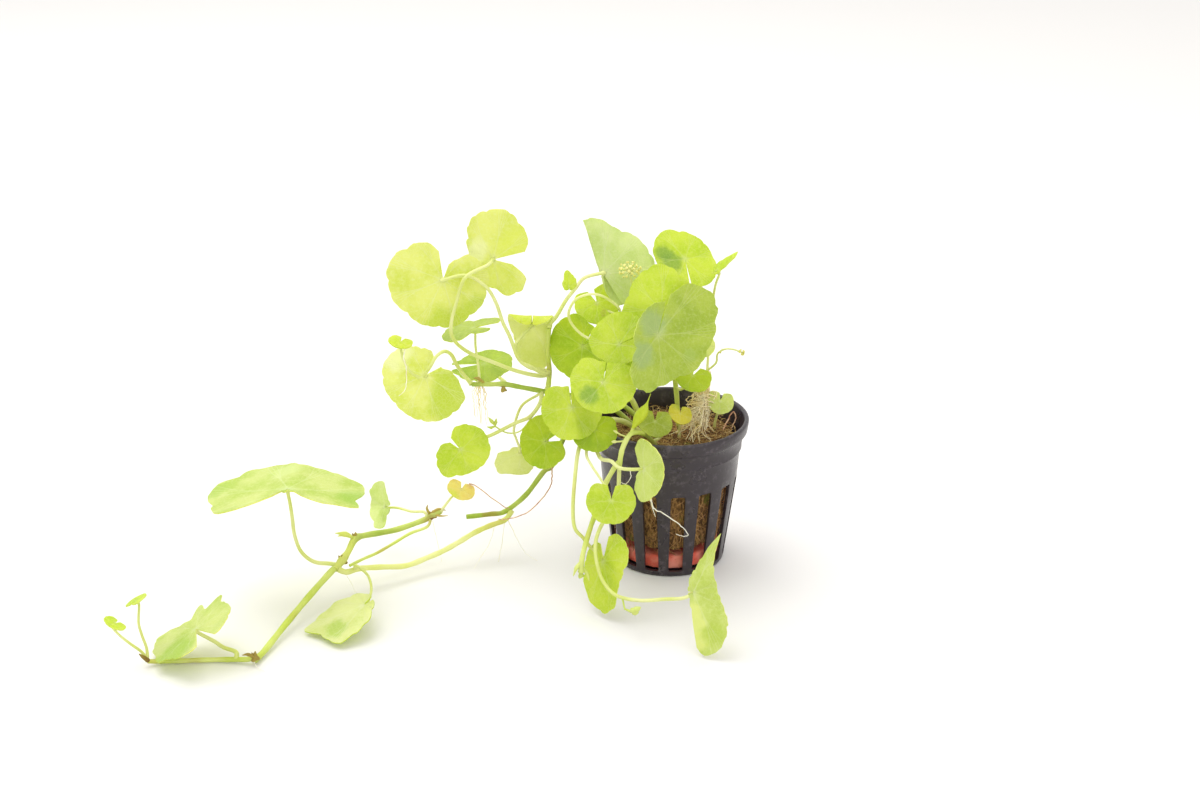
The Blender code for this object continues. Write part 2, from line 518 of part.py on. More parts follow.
def blade_mesh(name, leaf):
    """The open surface of a blade: a circle drawn in to the hub in rings, open at the sinus."""
    turns = margin_turns(leaf)
    bm = bmesh.new()
    bmesh.ops.create_circle(bm, cap_ends=False, segments=len(turns), radius=1.0)
    rings = (MID_RING, 0.0) if leaf["reach"] >= RING_REACH else (0.0,)
    for size in rings:
        border = [e for e in bm.edges if not e.link_faces] or [
            e for e in bm.edges if len(e.link_faces) == 1
            and all(v.co.length < 0.99 for v in e.verts)]
        made = bmesh.ops.extrude_edge_only(bm, edges=border)
        for vert in (g for g in made["geom"] if isinstance(g, bmesh.types.BMVert)):
            vert.co = vert.co.normalized() * size
    bmesh.ops.remove_doubles(bm, verts=bm.verts, dist=0.0001)
    step = math.tau / len(turns)
    gap_middle = math.tau - step / 2
    gap_way = Vector((math.cos(gap_middle), math.sin(gap_middle), 0.0))
    gap = [f for f in bm.faces
           if f.calc_center_median().normalized().dot(gap_way) > math.cos(step / 2.5)]
    bmesh.ops.delete(bm, geom=gap, context="FACES")
    for vert in bm.verts:
        share = vert.co.length
        number = round((math.atan2(vert.co.y, vert.co.x) % math.tau) / step) % len(turns)
        vert.co = blade_point(leaf, turns[number], share, number % 2 == 0)
    bmesh.ops.recalc_face_normals(bm, faces=bm.faces)
    return mesh_from(bm, name)


def leaf_object(name, leaf, collection, look):
    """A leaf: the blade given its thickness, with the stalk fused on below the hub."""
    surface = add_object(f"{name}_surface", blade_mesh(name, leaf), collection)
    thicken = surface.modifiers.new("thickness", "SOLIDIFY")
    thicken.thickness = BLADE_THICKNESS * MM
    thicken.offset = 0.0
    blade = evaluated_mesh(surface)
    bpy.data.objects.remove(surface, do_unlink=True)
    hub = Vector(leaf["hub"])
    below = hub - blade_frame(leaf)[2] * STALK_DROP
    route = [hub, below, *leaf["stalk"]]
    points = smooth_route(route, 1)
    thick = SMALL_STALK if leaf.get("small") else LARGE_STALK
    last = len(points) - 1
    radii = [thick * (STALK_TOP_PART + STALK_GAIN * i / last) for i in range(len(points))]
    meshes = [blade, tube_mesh(f"{name}_stalk", points, radii, 0)]
    if "sprig" in leaf:
        meshes.append(tube_mesh(f"{name}_sprig", leaf["sprig"], SPRIG_RADII, 0))
    return fuse(name, meshes, collection, look)


def stem_object(name, stem, collection, look):
    """A stem or runner with its buds."""
    points = smooth_route(stem["route"], 1)
    first, last = stem["radius"]
    count = len(points) - 1
    radii = [first + (last - first) * i / count for i in range(count + 1)]
    meshes = [tube_mesh(name, points, radii, 1)]
    for place, radius in stem.get("buds", []):
        meshes.append(ball_mesh(f"{name}_bud", place, radius, 1.2))
    return fuse(name, meshes, collection, look)


def turned_mesh(name, profile, steps, collection):
    """A solid of revolution from (radius, height) pairs that run down the outer side."""
    bm = bmesh.new()
    verts = [bm.verts.new((radius, 0.0, height)) for radius, height in profile]
    for a, b in zip(verts, verts[1:]):
        bm.edges.new((a, b))
    guide = add_object(name, mesh_from(bm, name), collection)
    screw = guide.modifiers.new("turn", "SCREW")
    screw.steps = steps
    screw.render_steps = steps
    screw.use_merge_vertices = True
    screw.merge_threshold = 0.00001
    mesh = evaluated_mesh(guide)
    bpy.data.objects.remove(guide, do_unlink=True)
    return mesh


def wall_radius(height):
    """The outer radius of the pot's wall at a height."""
    for (low, small), (high, large) in zip(WALL_LINE, WALL_LINE[1:]):
        if height <= high:
            return small + (large - small) * (height - low) / (high - low)
    return WALL_LINE[-1][1]


def pot_profile():
    """The pot's section, from the inside floor up, over the rim and down the outer side."""
    inner = [(0.0, FLOOR), (wall_radius(FLOOR) - WALL, FLOOR)]
    inner += [(wall_radius(WALL_TOP) - WALL, WALL_TOP)]
    lip = [(radius, POT_HEIGHT) for radius in LIP_TOP] + [(RIM_RADIUS, LIP_EDGE), LIP_UNDERSIDE]
    outer = [(wall_radius(WALL_TOP - GAP), WALL_TOP - GAP)]
    outer += [(radius, height) for height, radius in reversed(WALL_LINE[1:-1])]
    return inner + lip + outer + [(BASE_RADIUS, 0.0), (0.0, 0.0)]


def add_box(bm, size, place, turn):
    """A box of a size, put at a place along +X and then turned about the pot's axis."""
    matrix = (Matrix.Rotation(math.radians(turn), 4, "Z") @ Matrix.Translation(place)
              @ Matrix.Diagonal((*size, 1.0)))
    bmesh.ops.create_cube(bm, size=1.0, matrix=matrix)


def pot_object(collection, cutters):
    """The net pot: a turned cup with upright slots in its wall and short ones in its base."""
    pot = add_object("net_pot", turned_mesh("net_pot", pot_profile(), POT_STEPS, cutters),
                     collection, PLASTIC)
    bm = bmesh.new()
    for number in range(SLOT_COUNT):
        turn = SLOT_FIRST - 90.0 + number * 360.0 / SLOT_COUNT
        middle = (SLOT_TOP + SLOT_BOTTOM) / 2
        size = (SLOT_DEPTH, SLOT_WIDTH, SLOT_TOP - SLOT_BOTTOM)
        add_box(bm, size, (SLOT_MIDDLE, 0.0, middle), turn)
    for number in range(BASE_SLOT_COUNT):
        middle = (BASE_SLOT_INNER + BASE_SLOT_OUTER) / 2
        size = (BASE_SLOT_OUTER - BASE_SLOT_INNER, BASE_SLOT_WIDTH, BASE_SLOT_CUT)
        add_box(bm, size, (middle, 0.0, 0.0), number * 360.0 / BASE_SLOT_COUNT)
    slots = add_object("slot_cutter", mesh_from(bm, "slot_cutter"), cutters)
    hide_helper(slots)
    cut = pot.modifiers.new("slots", "BOOLEAN")
    cut.operation = "DIFFERENCE"
    cut.solver = "EXACT"
    cut.object = slots
    return pot


def disc_object(collection, cutters):
    """The clay disc on the pot's floor."""
    low = FLOOR + GAP
    high = low + DISC_HEIGHT
    profile = [(0.0, high), (DISC_RADIUS, high), (DISC_RADIUS, low), (0.0, low)]
    mesh = turned_mesh("clay_disc", profile, TURN_STEPS, cutters)
    return add_object("clay_disc", mesh, collection, CLAY)


def plug_object(collection, cutters):
    """The rockwool plug above the disc."""
    low = FLOOR + DISC_HEIGHT + 2 * GAP
    profile = [(0.0, PLUG_TOP), (PLUG_TOP_RADIUS - PLUG_BEVEL, PLUG_TOP),
               (PLUG_TOP_RADIUS, PLUG_TOP - PLUG_BEVEL), (PLUG_FOOT_RADIUS, low), (0.0, low)]
    mesh = turned_mesh("rockwool_plug", profile, TURN_STEPS, cutters)
    return add_object("rockwool_plug", mesh, collection, ROCKWOOL)


def tapered_object(name, route, radii, collection, look):
    """A swelling shoot or a hanging root clump: a tube with a radius for each point."""
    mesh = tube_mesh(name, route, radii, 1)
    return add_object(name, mesh, collection, look)


def umbel_object(collection):
    """The flower head: a rounded cluster on its stalk."""
    head = Vector((-13.4, 2.2, 100.4))
    route = [head, (-12.8, 1, 95.5), (-10, -1, 90), (-6.4, 2, 84.6), (-4, 5.4, 81)]
    stalk = tube_mesh("flower_head_stalk", smooth_route(route, 1), [0.4] * 5, 0)
    ball = ball_mesh("flower_head_ball", head, 3.9, 0.75)
    return fuse("flower_head", [ball, stalk], collection, PALE_GREEN)


def bud_stalk_object(collection):
    """The stalk with two small flower buds at the right."""
    route = [(15, 4, 67), (15.4, 3, 70.6), (18, 2, 72.6), (21, 1, 72.6), (23, 0, 72)]
    stalk = tube_mesh("flower_buds_stalk", smooth_route(route, 1), [0.4] * 5, 0)
    buds = [ball_mesh("flower_buds_ball", (16.6, 2.6, 72), 1.3),
            ball_mesh("flower_buds_ball", (23, 0, 72), 1.6)]
    return fuse("flower_buds", [stalk, *buds], collection, GREEN)


def build():
    """The whole plant in its pot."""
    clear_scene()
    parts = make_collection("brazilian_pennywort")
    cutters = make_collection("cutters")
    pot_object(parts, cutters)
    disc_object(parts, cutters)
    plug_object(parts, cutters)
    for name, stem in STEMS.items():
        stem_object(name, stem, parts, STEM_GREEN)
    for name, leaf in LEAVES.items():
        leaf_object(name, leaf, parts, GREEN)
    tapered_object("young_shoot",
                   [(-12.6, -22, 54.6), (-11, -21, 57), (-9.4, -20.4, 59.4), (-8.2, -19.6, 62),
                    (-7, -18.6, 65.4)],
                   [0.7, 1.4, 1.9, 1.3, 0.2], parts, PALE_GREEN)
    tapered_object("root_clump",
                   [(12, 1, 65), (11, 0, 58), (9.6, -2, 52), (8, -4, 46.8)],
                   [1.0, 1.6, 2.4, 3.0], parts, ROOT)
    tapered_object("hanging_roots",
                   [(-62, 0, 59.4), (-62, 0.4, 55), (-61, 1, 47)],
                   [1.6, 1.3, 0.4], parts, ROOT)
    umbel_object(parts)
    bud_stalk_object(parts)


build()
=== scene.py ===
"""Looks of a potted Brazilian pennywort (Hydrocotyle leucocephala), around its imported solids.

Lengths in the tables are millimetres and angles degrees; they become metres when a mesh is laid.
Every leaf, stem and root lies where its solid is, with the finer form and finish of the real one.
"""

import math
import random

import bmesh
import bpy
from mathutils import Matrix, Vector


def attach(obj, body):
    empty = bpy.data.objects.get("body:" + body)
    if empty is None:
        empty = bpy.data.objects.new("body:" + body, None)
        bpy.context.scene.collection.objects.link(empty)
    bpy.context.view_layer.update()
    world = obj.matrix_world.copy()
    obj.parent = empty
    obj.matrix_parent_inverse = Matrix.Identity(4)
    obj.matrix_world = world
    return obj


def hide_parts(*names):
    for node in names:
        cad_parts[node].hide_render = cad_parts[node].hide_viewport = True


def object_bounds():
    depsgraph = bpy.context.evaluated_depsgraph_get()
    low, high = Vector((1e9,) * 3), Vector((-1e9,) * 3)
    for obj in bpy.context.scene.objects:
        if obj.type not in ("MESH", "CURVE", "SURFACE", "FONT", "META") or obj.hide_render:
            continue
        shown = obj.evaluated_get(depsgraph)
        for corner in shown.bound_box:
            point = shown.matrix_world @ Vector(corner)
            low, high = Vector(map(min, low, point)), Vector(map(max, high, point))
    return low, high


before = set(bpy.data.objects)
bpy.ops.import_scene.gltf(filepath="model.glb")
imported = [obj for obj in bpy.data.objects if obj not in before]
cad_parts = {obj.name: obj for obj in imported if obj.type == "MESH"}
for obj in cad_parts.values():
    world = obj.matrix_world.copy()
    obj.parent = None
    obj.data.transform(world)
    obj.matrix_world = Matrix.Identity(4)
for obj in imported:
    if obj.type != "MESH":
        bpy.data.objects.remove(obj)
cad_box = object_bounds()

MM = 0.001

# Net pot, as in the solids
POT_STEPS = 180
POT_FLOOR = 1.3
SLOT_COUNT = 15
SLOT_FIRST = 5.5
SLOT_WIDTH = 4.7
SLOT_BOTTOM = 2.0
SLOT_TOP = 30.5
BASE_SLOT_COUNT = 6
DISC_RADIUS = 17.0
DISC_HEIGHT = 5.5
PLUG_TOP = 45.0
PLUG_TOP_RADIUS = 22.3
PLUG_FOOT_RADIUS = 17.7
GAP = 0.3

# Blades and stalks
BLADE_THICKNESS = 0.36
RINGS = (0.975, 0.94, 0.88, 0.8, 0.7, 0.59, 0.47, 0.35, 0.23, 0.11)
STEPS_PER_LOBE = 12
TEETH_PER_LOBE = 3
LOBES = ((14.0, 8), (6.5, 6), (0.0, 5))
SINUS_TURN = 166.0
NOTCH_DEPTH = 0.04
TOOTH_DEPTH = 0.014
CREASE = 0.22
STALK_DROP = 1.6
SMALL_STALK = 0.5
LARGE_STALK = 0.7
SINUS_SHORTENING = 0.32
BASE_LOBES_FROM = 125.0
BASE_LOBES_SPAN = 41.0
BREADTH = 0.05
SCALLOP_BLUNTNESS = 0.7
PUFF = 0.4
PUFF_FULL_REACH = 12.0
SWAY = 0.012
WAVES_ROUND = 5.0
STALK_SINKS_IN = 0.05
STALK_FLARE_AT_HUB = (0.55, 2.2)
STALK_FLARE_AT_FOOT = (0.35, 3.0)
STALK_FINDS_STEM = 5.0
STALK_FINDS_PLUG = 2.5

# Leaves: the hub, the way the upper side faces (azimuth from the front towards +X, elevation),
# the roll of the tip from downhill, the reach from hub to tip, and the stalk's route from the
# hub to its foot. fold lifts the halves left and right of the midrib, curl bends the tip and the
# sinus side, cup and wave are parts of the reach, outline holds (turn from the tip, reach) pairs.
# A sprig is a short bud shoot on the stalk.
LEAVES = {
    "leaf_left_large": dict(
        hub=(-72.4, -8, 99.6), face=(180, -12), roll=6, reach=15.5, cup=0.03,
        outline=[(-166, 0.62), (-150, 0.84), (-132, 0.97), (-110, 1.12), (-90, 1.19), (-68, 1.13),
                 (-36, 1.05), (0, 1.01), (50, 0.94), (95, 0.94), (121, 0.87), (140, 0.74),
                 (152, 0.5), (166, 0.35)],
        stalk=[(-65, -11, 102), (-59, -10, 98), (-56, -8, 92), (-54, -7, 85), (-52, -6, 80),
               (-49, -4, 71), (-45, -3, 68), (-41, -1, 65)]),
    "leaf_left_top": dict(
        hub=(-57, -1, 104), face=(180, -16), roll=90, reach=16.8, fold=(-8, 8),
        outline=[(-166, 0.66), (-149, 0.78), (-132, 0.86), (-113, 0.95), (-96, 1.02), (-80, 0.96),
                 (-66, 0.9), (-54, 0.8), (-40, 0.64), (-15, 0.48), (20, 0.55), (60, 0.6),
                 (92, 0.56), (114, 0.77), (131, 0.82), (148, 0.74), (166, 0.4)],
        stalk=[(-58.4, -9.6, 104.8), (-65, -13, 102), (-68, -12.4, 94), (-70, -13, 86),
               (-69.4, -8, 79), (-65, -3, 73), (-59, -2, 70), (-50, -1, 66), (-43, 0, 64)]),
    "leaf_left_flat": dict(
        hub=(-64, 3, 79.5), face=(-62, 74), roll=-40, reach=10, cup=-0.04, small=True,
        outline=[(-166, 0.66), (-120, 0.46), (-86, 0.34), (-63, 0.78), (-48, 0.96), (-12, 1.11),
                 (8, 1.06), (25, 0.86), (55, 0.73), (76, 0.5), (118, 0.63), (153, 0.92),
                 (166, 0.86)],
        stalk=[(-63.6, 3, 73), (-63, 2.6, 68), (-62.6, 1.8, 63)]),
    "leaf_left_low": dict(
        hub=(-79, -10, 68), face=(180, -34), roll=46, reach=15, cup=0.03,
        outline=[(-160, 0.44), (-145, 0.56), (-128, 0.62), (-112, 0.7), (-96, 0.83), (-80, 0.91),
                 (-50, 0.95), (-11, 0.9), (15, 0.92), (47, 1.02), (85, 1.05), (105, 1.0),
                 (121, 0.8), (141, 0.6), (160, 0.4)],
        stalk=[(-77, -14, 72.4), (-75, -13, 75.6), (-72.6, -11, 76.6), (-70.6, -8.6, 74.6),
               (-69.4, -5, 70), (-68, 0, 65), (-66.6, 1.2, 62.6)]),
    "leaf_left_young": dict(
        hub=(-86, -14, 81), face=(40, 74), roll=-56, reach=3.8, small=True,
        stalk=[(-85, -14, 74), (-83, -15, 71), (-80.5, -14.5, 69)]),
    "leaf_left_inner": dict(
        hub=(-61.7, 13, 63.1), face=(-12, 72), roll=105, reach=10.4, fold=(-8, -8), sinus=172,
        outline=[(-172, 1.1), (-150, 0.84), (-104, 0.78), (-70, 0.92), (-42, 0.94), (-14, 0.95),
                 (18, 0.93), (39, 0.8), (81, 0.81), (114, 0.8), (152, 0.92), (172, 1.1)],
        stalk=[(-58, 11, 60.4), (-55.6, 6, 60.4), (-54.4, 2.2, 61)]),
    "leaf_left_cupped": dict(
        hub=(-45.1, 6, 79.6), face=(180, -10), roll=2, reach=9.4, cup=0.05, curl=(14, -170),
        sinus=178,
        outline=[(-178, 1.0), (-150, 1.02), (-125, 1.0), (-105, 0.9), (-84, 0.8), (-64, 0.78),
                 (-44, 0.86), (-30, 1.08), (-18, 1.36), (-4, 1.75), (6, 1.88), (15, 1.82),
                 (28, 1.4), (48, 0.93), (67, 0.68), (95, 0.7), (120, 0.85), (140, 1.0),
                 (178, 1.0)],
        stalk=[(-48, 2.5, 77.4), (-50.6, 0.5, 74), (-49.4, -0.4, 70), (-46, -0.2, 67),
               (-42, 2, 65.2)]),
    "leaf_dark_left": dict(
        hub=(-28.6, -2, 75), face=(-22, 28), roll=-25, reach=11.2, cup=0.04, sinus=178,
        stalk=[(-26, 4, 71), (-22, 4, 67), (-18, 2, 65)]),
    "leaf_looped": dict(
        hub=(-24, 9, 86), face=(10, 40), roll=20, reach=7.4, small=True,
        stalk=[(-18.4, 6, 83.4), (-16.6, 0, 86.6), (-19, -5, 91), (-23, -8, 94.4), (-27, -9, 95),
               (-31, -9, 93), (-33, -9, 88.6), (-31.6, -8.6, 84.4), (-28, -9, 81), (-24, -9, 79.8),
               (-20.6, -8, 79.6), (-17.2, -5, 78.4), (-15.6, -2, 75), (-15.8, -0.6, 71.6)]),
    "leaf_bract": dict(
        hub=(-33, 1.6, 94), face=(-30, 21), roll=-168, reach=4.6, small=True,
        outline=[(-166, 0.25), (-109, 0.42), (-44, 0.64), (-9, 1.2), (18, 0.9), (40, 0.8),
                 (72, 0.63), (145, 0.3), (166, 0.25)],
        stalk=[(-32.4, 3, 93.6)]),
    "leaf_tall_folded": dict(
        hub=(-22, 7.5, 96.6), face=(173, -22), roll=160, reach=17.5, fold=(15, 140),
        outline=[(-166, 0.7), (-120, 0.98), (-90, 1.0), (-60, 0.94), (-35, 0.9), (-14, 0.96),
                 (-4, 1.09), (4, 1.09), (40, 0.95), (90, 1.0), (166, 0.7)],
        stalk=[(-28, 6, 95.6), (-31, 4, 92.6), (-34, 3, 89), (-37, 2, 84), (-39.4, 2, 81)]),
    "leaf_top_round": dict(
        hub=(4.6, 12, 100), face=(10, 38), roll=-175, reach=10.6, fold=(6, 6), sinus=178,
        outline=[(-178, 0.95), (-138, 0.9), (-94, 0.92), (-57, 1.1), (-40, 1.12), (-24, 1.1),
                 (2, 0.93), (31, 0.82), (60, 0.82), (89, 0.84), (115, 1.0), (135, 1.1),
                 (178, 1.0)],
        stalk=[(4, 15, 94), (2, 12, 87), (-0.6, 8, 81)]),
    "leaf_top_edge": dict(
        hub=(14.2, 2, 99.2), face=(-60, 40), roll=157, reach=8, small=True,
        outline=[(-166, 0.16), (-132, 0.2), (-68, 0.32), (-32, 0.49), (-12, 0.77), (-5, 1.03),
                 (0, 1.24), (8, 1.0), (16, 0.56), (40, 0.26), (148, 0.14), (166, 0.14)],
        stalk=[(14.4, 6, 93.5), (14, 11, 87), (13.4, 14, 76), (13, 14, 66), (12.4, 12, 56),
               (11, 9, 46)]),
    "leaf_crown_upper": dict(
        hub=(-3.6, -9, 89.6), face=(-12, 25), roll=160, reach=14.6, fold=(-6, -8), sinus=178,
        outline=[(-178, 0.8), (-160, 1.02), (-143, 1.2), (-123, 0.99), (-110, 0.87), (-90, 0.85),
                 (-66, 0.93), (-46, 1.01), (-32, 1.05), (-13, 0.98), (7, 0.88), (32, 0.8),
                 (68, 0.7), (114, 0.66), (178, 0.7)],
        stalk=[(-3, -3, 85), (-2.4, 2, 81.6), (-2.4, 4, 80.6)]),
    "leaf_crown_middle": dict(
        hub=(-17, -14, 80), face=(-25, 30), roll=-57, reach=10, cup=0.05, sinus=178,
        outline=[(-178, 0.9), (-138, 0.82), (-89, 0.68), (-24, 0.7), (8, 0.93), (33, 1.03),
                 (55, 1.06), (78, 1.03), (115, 1.08), (144, 1.08), (178, 0.95)],
        stalk=[(-17.4, -8, 76), (-18.4, -3, 73), (-18.4, -0.8, 70)]),
    "leaf_crown_low": dict(
        hub=(-22, -24.6, 71.4), face=(5, 33), roll=-12, reach=10, cup=-0.05, sinus=178,
        stalk=[(-20, -14, 66), (-18, -8, 64), (-16, -1, 62)]),
    "leaf_crown_dark": dict(
        hub=(-8, -3, 70.6), face=(15, 30), roll=0, reach=7.5, small=True,
        stalk=[(-5, 1, 69), (-1.6, 3.8, 68.4)]),
    "leaf_front_large": dict(
        hub=(-5, -20, 85.4), face=(15, 26), roll=-22, reach=20.5, fold=(0, 14), sinus=178,
        outline=[(-178, 0.7), (-161, 0.99), (-141, 1.12), (-132, 1.1), (-119, 0.95), (-90, 0.84),
                 (-68, 0.8), (-37, 0.73), (-19, 0.78), (-3, 0.93), (10, 0.9), (22, 0.77),
                 (31, 0.59), (44, 0.43), (84, 0.41), (113, 0.4), (144, 0.46), (161, 0.5),
                 (178, 0.54)],
        stalk=[(-3, -18.6, 77.6), (-1, -16.4, 73.6), (2, -8, 71.6), (1.2, 2.8, 71.6)]),
    "leaf_rim_folded": dict(
        hub=(-32, -20, 61), face=(-6, 25), roll=8, reach=10.6, fold=(-34, -22), sinus=177,
        stalk=[(-31, -13, 60), (-31, -6, 58), (-33, 0, 56.4)]),
    "leaf_rim_dark": dict(
        hub=(-41, -8, 44), face=(-25, 31), roll=-63, reach=8.8, cup=0.05,
        stalk=[(-40, -3, 46), (-38, 0, 51), (-38.6, 0.6, 54.6)]),
    "leaf_rim_round": dict(
        hub=(-25, -19, 53), face=(10, 35), roll=-16, reach=7.4, cup=-0.05,
        stalk=[(-24.2, -16, 52.4)]),
    "leaf_hanging_round": dict(
        hub=(-68.4, -10, 42), face=(10, 36), roll=43, reach=9, sinus=172,
        outline=[(-172, 0.6), (-143, 0.89), (-115, 1.02), (-84, 1.09), (-52, 1.11), (-13, 1.02),
                 (26, 0.92), (52, 0.98), (77, 1.16), (101, 1.07), (118, 0.96), (147, 0.76),
                 (172, 0.5)],
        stalk=[(-62, -6, 44), (-58, -4, 45), (-51, -2, 48), (-46, -1, 50), (-42.6, 0, 54.6)]),
    "leaf_hanging_pale": dict(
        hub=(-50, 8, 33), face=(180, -40), roll=0, reach=6, small=True,
        outline=[(-166, 0.35), (-105, 0.6), (-86, 1.3), (-60, 1.6), (-46, 1.7), (-19, 1.33),
                 (0, 1.28), (21, 1.32), (34, 1.25), (60, 0.9), (166, 0.5)],
        stalk=[(-50, 5.6, 36), (-51, 4, 40), (-51.6, 3, 44), (-49, 3, 52), (-43.6, 3, 56)]),
    "leaf_yellow": dict(
        hub=(-69, -6, 26), face=(40, 60), roll=-46, reach=4.6, small=True,
        stalk=[(-72, -5, 23), (-75, -5, 19)]),
    "leaf_arched_large": dict(
        hub=(-120, -40, 41.6), face=(180, 87), roll=0, reach=22.5, fold=(-15, -14), wave=0.01,
        outline=[(-166, 0.08), (-125, 0.1), (-117, 0.6), (-112, 0.9), (-105, 1.03), (-96, 1.1),
                 (-82, 1.2), (-65, 1.42), (-52, 1.54), (-42, 1.43), (-33, 1.48), (-24, 1.31),
                 (-18, 1.25), (-7, 1.1), (4, 1.0), (14, 1.03), (25, 1.06), (34, 1.13), (43, 1.2),
                 (53, 1.23), (65, 1.13), (80, 0.98), (94, 1.02), (103, 0.6), (124, 0.12),
                 (166, 0.08)],
        stalk=[(-120, -38, 36), (-120, -36, 30), (-120, -34, 23), (-118.6, -32, 16),
               (-115, -30, 11.4), (-110, -28.6, 10)]),
    "leaf_upright_small": dict(
        hub=(-95.1, -1.6, 17.4), face=(-32, 29), roll=-74, reach=7.7, fold=(10, 10), small=True,
        outline=[(-166, 0.3), (-115, 0.4), (-92, 0.96), (-68, 1.02), (-51, 0.8), (-20, 0.8),
                 (28, 0.76), (49, 1.1), (72, 1.18), (90, 1.14), (101, 0.6), (125, 0.35),
                 (166, 0.3)],
        stalk=[(-91, -1, 16.8), (-86, -3.4, 16.6), (-81.8, -4.2, 16.8)]),
    "leaf_floor_pointed": dict(
        hub=(-96.6, -52, 7.6), face=(-47, 70), roll=-6, reach=20, small=True,
        outline=[(-158, 0.17), (-102, 0.19), (-61, 0.44), (-41, 0.66), (-29, 0.84), (-13, 0.83),
                 (3, 0.86), (19, 1.0), (30, 0.78), (53, 0.58), (86, 0.35), (146, 0.25),
                 (158, 0.2)],
        stalk=[(-95, -46, 9), (-96, -40, 10), (-98, -35, 10.1), (-101.6, -30.6, 10.4)]),
    "leaf_far_folded": dict(
        hub=(-144.6, -72, 10.2), face=(-84, 60), roll=-68, reach=14.2,
        outline=[(-166, 0.92), (-157, 0.97), (-138, 0.95), (-112, 0.92), (-98, 1.06), (-78, 1.04),
                 (-57, 1.14), (-37, 1.3), (-28, 1.1), (-16, 0.76), (4, 0.62), (22, 1.08),
                 (33, 0.76), (49, 1.16), (62, 0.86), (88, 0.86), (138, 0.88), (166, 1.0)],
        stalk=[(-140, -70, 5), (-137, -71, 3.4), (-133, -73, 3)]),
    "leaf_tip_first": dict(
        hub=(-167, -78, 15.6), face=(99, 61), roll=-121, reach=3.4, small=True,
        stalk=[(-166, -77.4, 11), (-163.4, -76.4, 7.6), (-160.6, -75.6, 4.4)]),
    "leaf_tip_second": dict(
        hub=(-162, -71, 19.4), face=(-99, 61), roll=-115, reach=3.6, small=True,
        stalk=[(-161.4, -73, 13), (-160.6, -73.6, 9), (-159.4, -74.4, 5)]),
    "leaf_front_folded": dict(
        hub=(-9.4, -37.6, 47.6), face=(-54, 10), roll=104, reach=9.8, fold=(8, 8),
        outline=[(-166, 0.2), (-135, 0.4), (-110, 0.8), (-88, 1.0), (-50, 1.02), (0, 1.06),
                 (50, 1.06), (88, 1.05), (110, 0.85), (135, 0.45), (166, 0.2)],
        stalk=[(-13, -34.4, 46), (-17, -33.6, 46.2), (-19.6, -29.4, 46.6), (-22.6, -23.6, 44.8),
               (-24.2, -19, 46), (-24.8, -16.6, 49)]),
    "leaf_front_kidney": dict(
        hub=(-19.6, -40.4, 38), face=(5, 30), roll=-5, reach=7.5, small=True,
        stalk=[(-20.4, -37, 39.4), (-22.6, -33.8, 42), (-26, -28, 45), (-27.4, -22.4, 46.2),
               (-26.4, -17.4, 50)]),
    "leaf_floor_standing": dict(
        hub=(-22, -42.4, 18), face=(-45, 12), roll=8, reach=14.4,
        outline=[(-166, 0.63), (-150, 0.78), (-125, 0.84), (-100, 0.74), (-80, 0.64), (-55, 0.62),
                 (-38, 0.76), (-20, 1.06), (-6, 1.18), (12, 1.07), (39, 0.88), (62, 0.6),
                 (95, 0.5), (143, 0.46), (166, 0.4)],
        stalk=[(-26, -38.6, 21), (-28.4, -38, 24), (-31, -37, 27), (-31.6, -33, 32),
               (-31, -28, 40), (-30, -21.4, 46.4), (-28, -16.6, 50)]),
    "leaf_floor_tall": dict(
        hub=(5.4, -63.5, 18.2), face=(-26, 20), roll=99, reach=18.8, sinus=172,
        outline=[(-172, 0.1), (-132, 0.13), (-102, 0.26), (-87, 0.38), (-76, 0.59), (-70, 0.83),
                 (-65, 1.09), (-61, 0.75), (-53, 0.56), (-33, 0.43), (-10, 0.41), (12, 0.48),
                 (26, 0.59), (33, 0.7), (41, 0.81), (51, 0.9), (63, 1.0), (72, 1.05), (80, 1.05),
                 (86, 0.94), (91, 0.49), (96, 0.27), (123, 0.12), (172, 0.1)],
        stalk=[(2.4, -63, 16), (-3, -60, 14), (-11, -56, 11.4), (-18, -52, 11), (-22, -48.6, 14),
               (-24, -45.6, 19), (-24.4, -42, 24.4), (-22.4, -38.6, 29), (-19, -35.6, 32),
               (-17.4, -33, 37), (-17, -30.4, 43.6)],
        sprig=[(-16.2, -53, 11.1), (-15.4, -56, 8.4), (-13.4, -58, 8.6), (-11.4, -58.6, 10.4)]),
    "leaf_pot_round": dict(
        hub=(-5.4, -15, 54), face=(21, 47), roll=-16, reach=5.6, small=True,
        stalk=[(-4, -11, 50), (-3.6, -9, 46)]),
    "leaf_pot_yellow": dict(
        hub=(3, -8, 54), face=(33, 44), roll=-27, reach=4, small=True,
        stalk=[(3, -5.4, 50), (3, -4, 46)]),
    "leaf_pot_pale": dict(
        hub=(16.4, -1, 55.4), face=(12, 34), roll=-16, reach=4.4, small=True,
        stalk=[(16, 2, 51), (15, 3, 46)]),
    "leaf_pot_dark": dict(
        hub=(7, -4, 65.6), face=(20, 50), roll=-43, reach=6.2, small=True,
        stalk=[(6, 0, 61), (3.6, 3, 58)]),
    "leaf_right_pale": dict(
        hub=(11, 8.5, 71.6), face=(30, 30), roll=0, reach=4.2, small=True,
        stalk=[(8, 9, 69), (2.6, 6.6, 68)]),
}

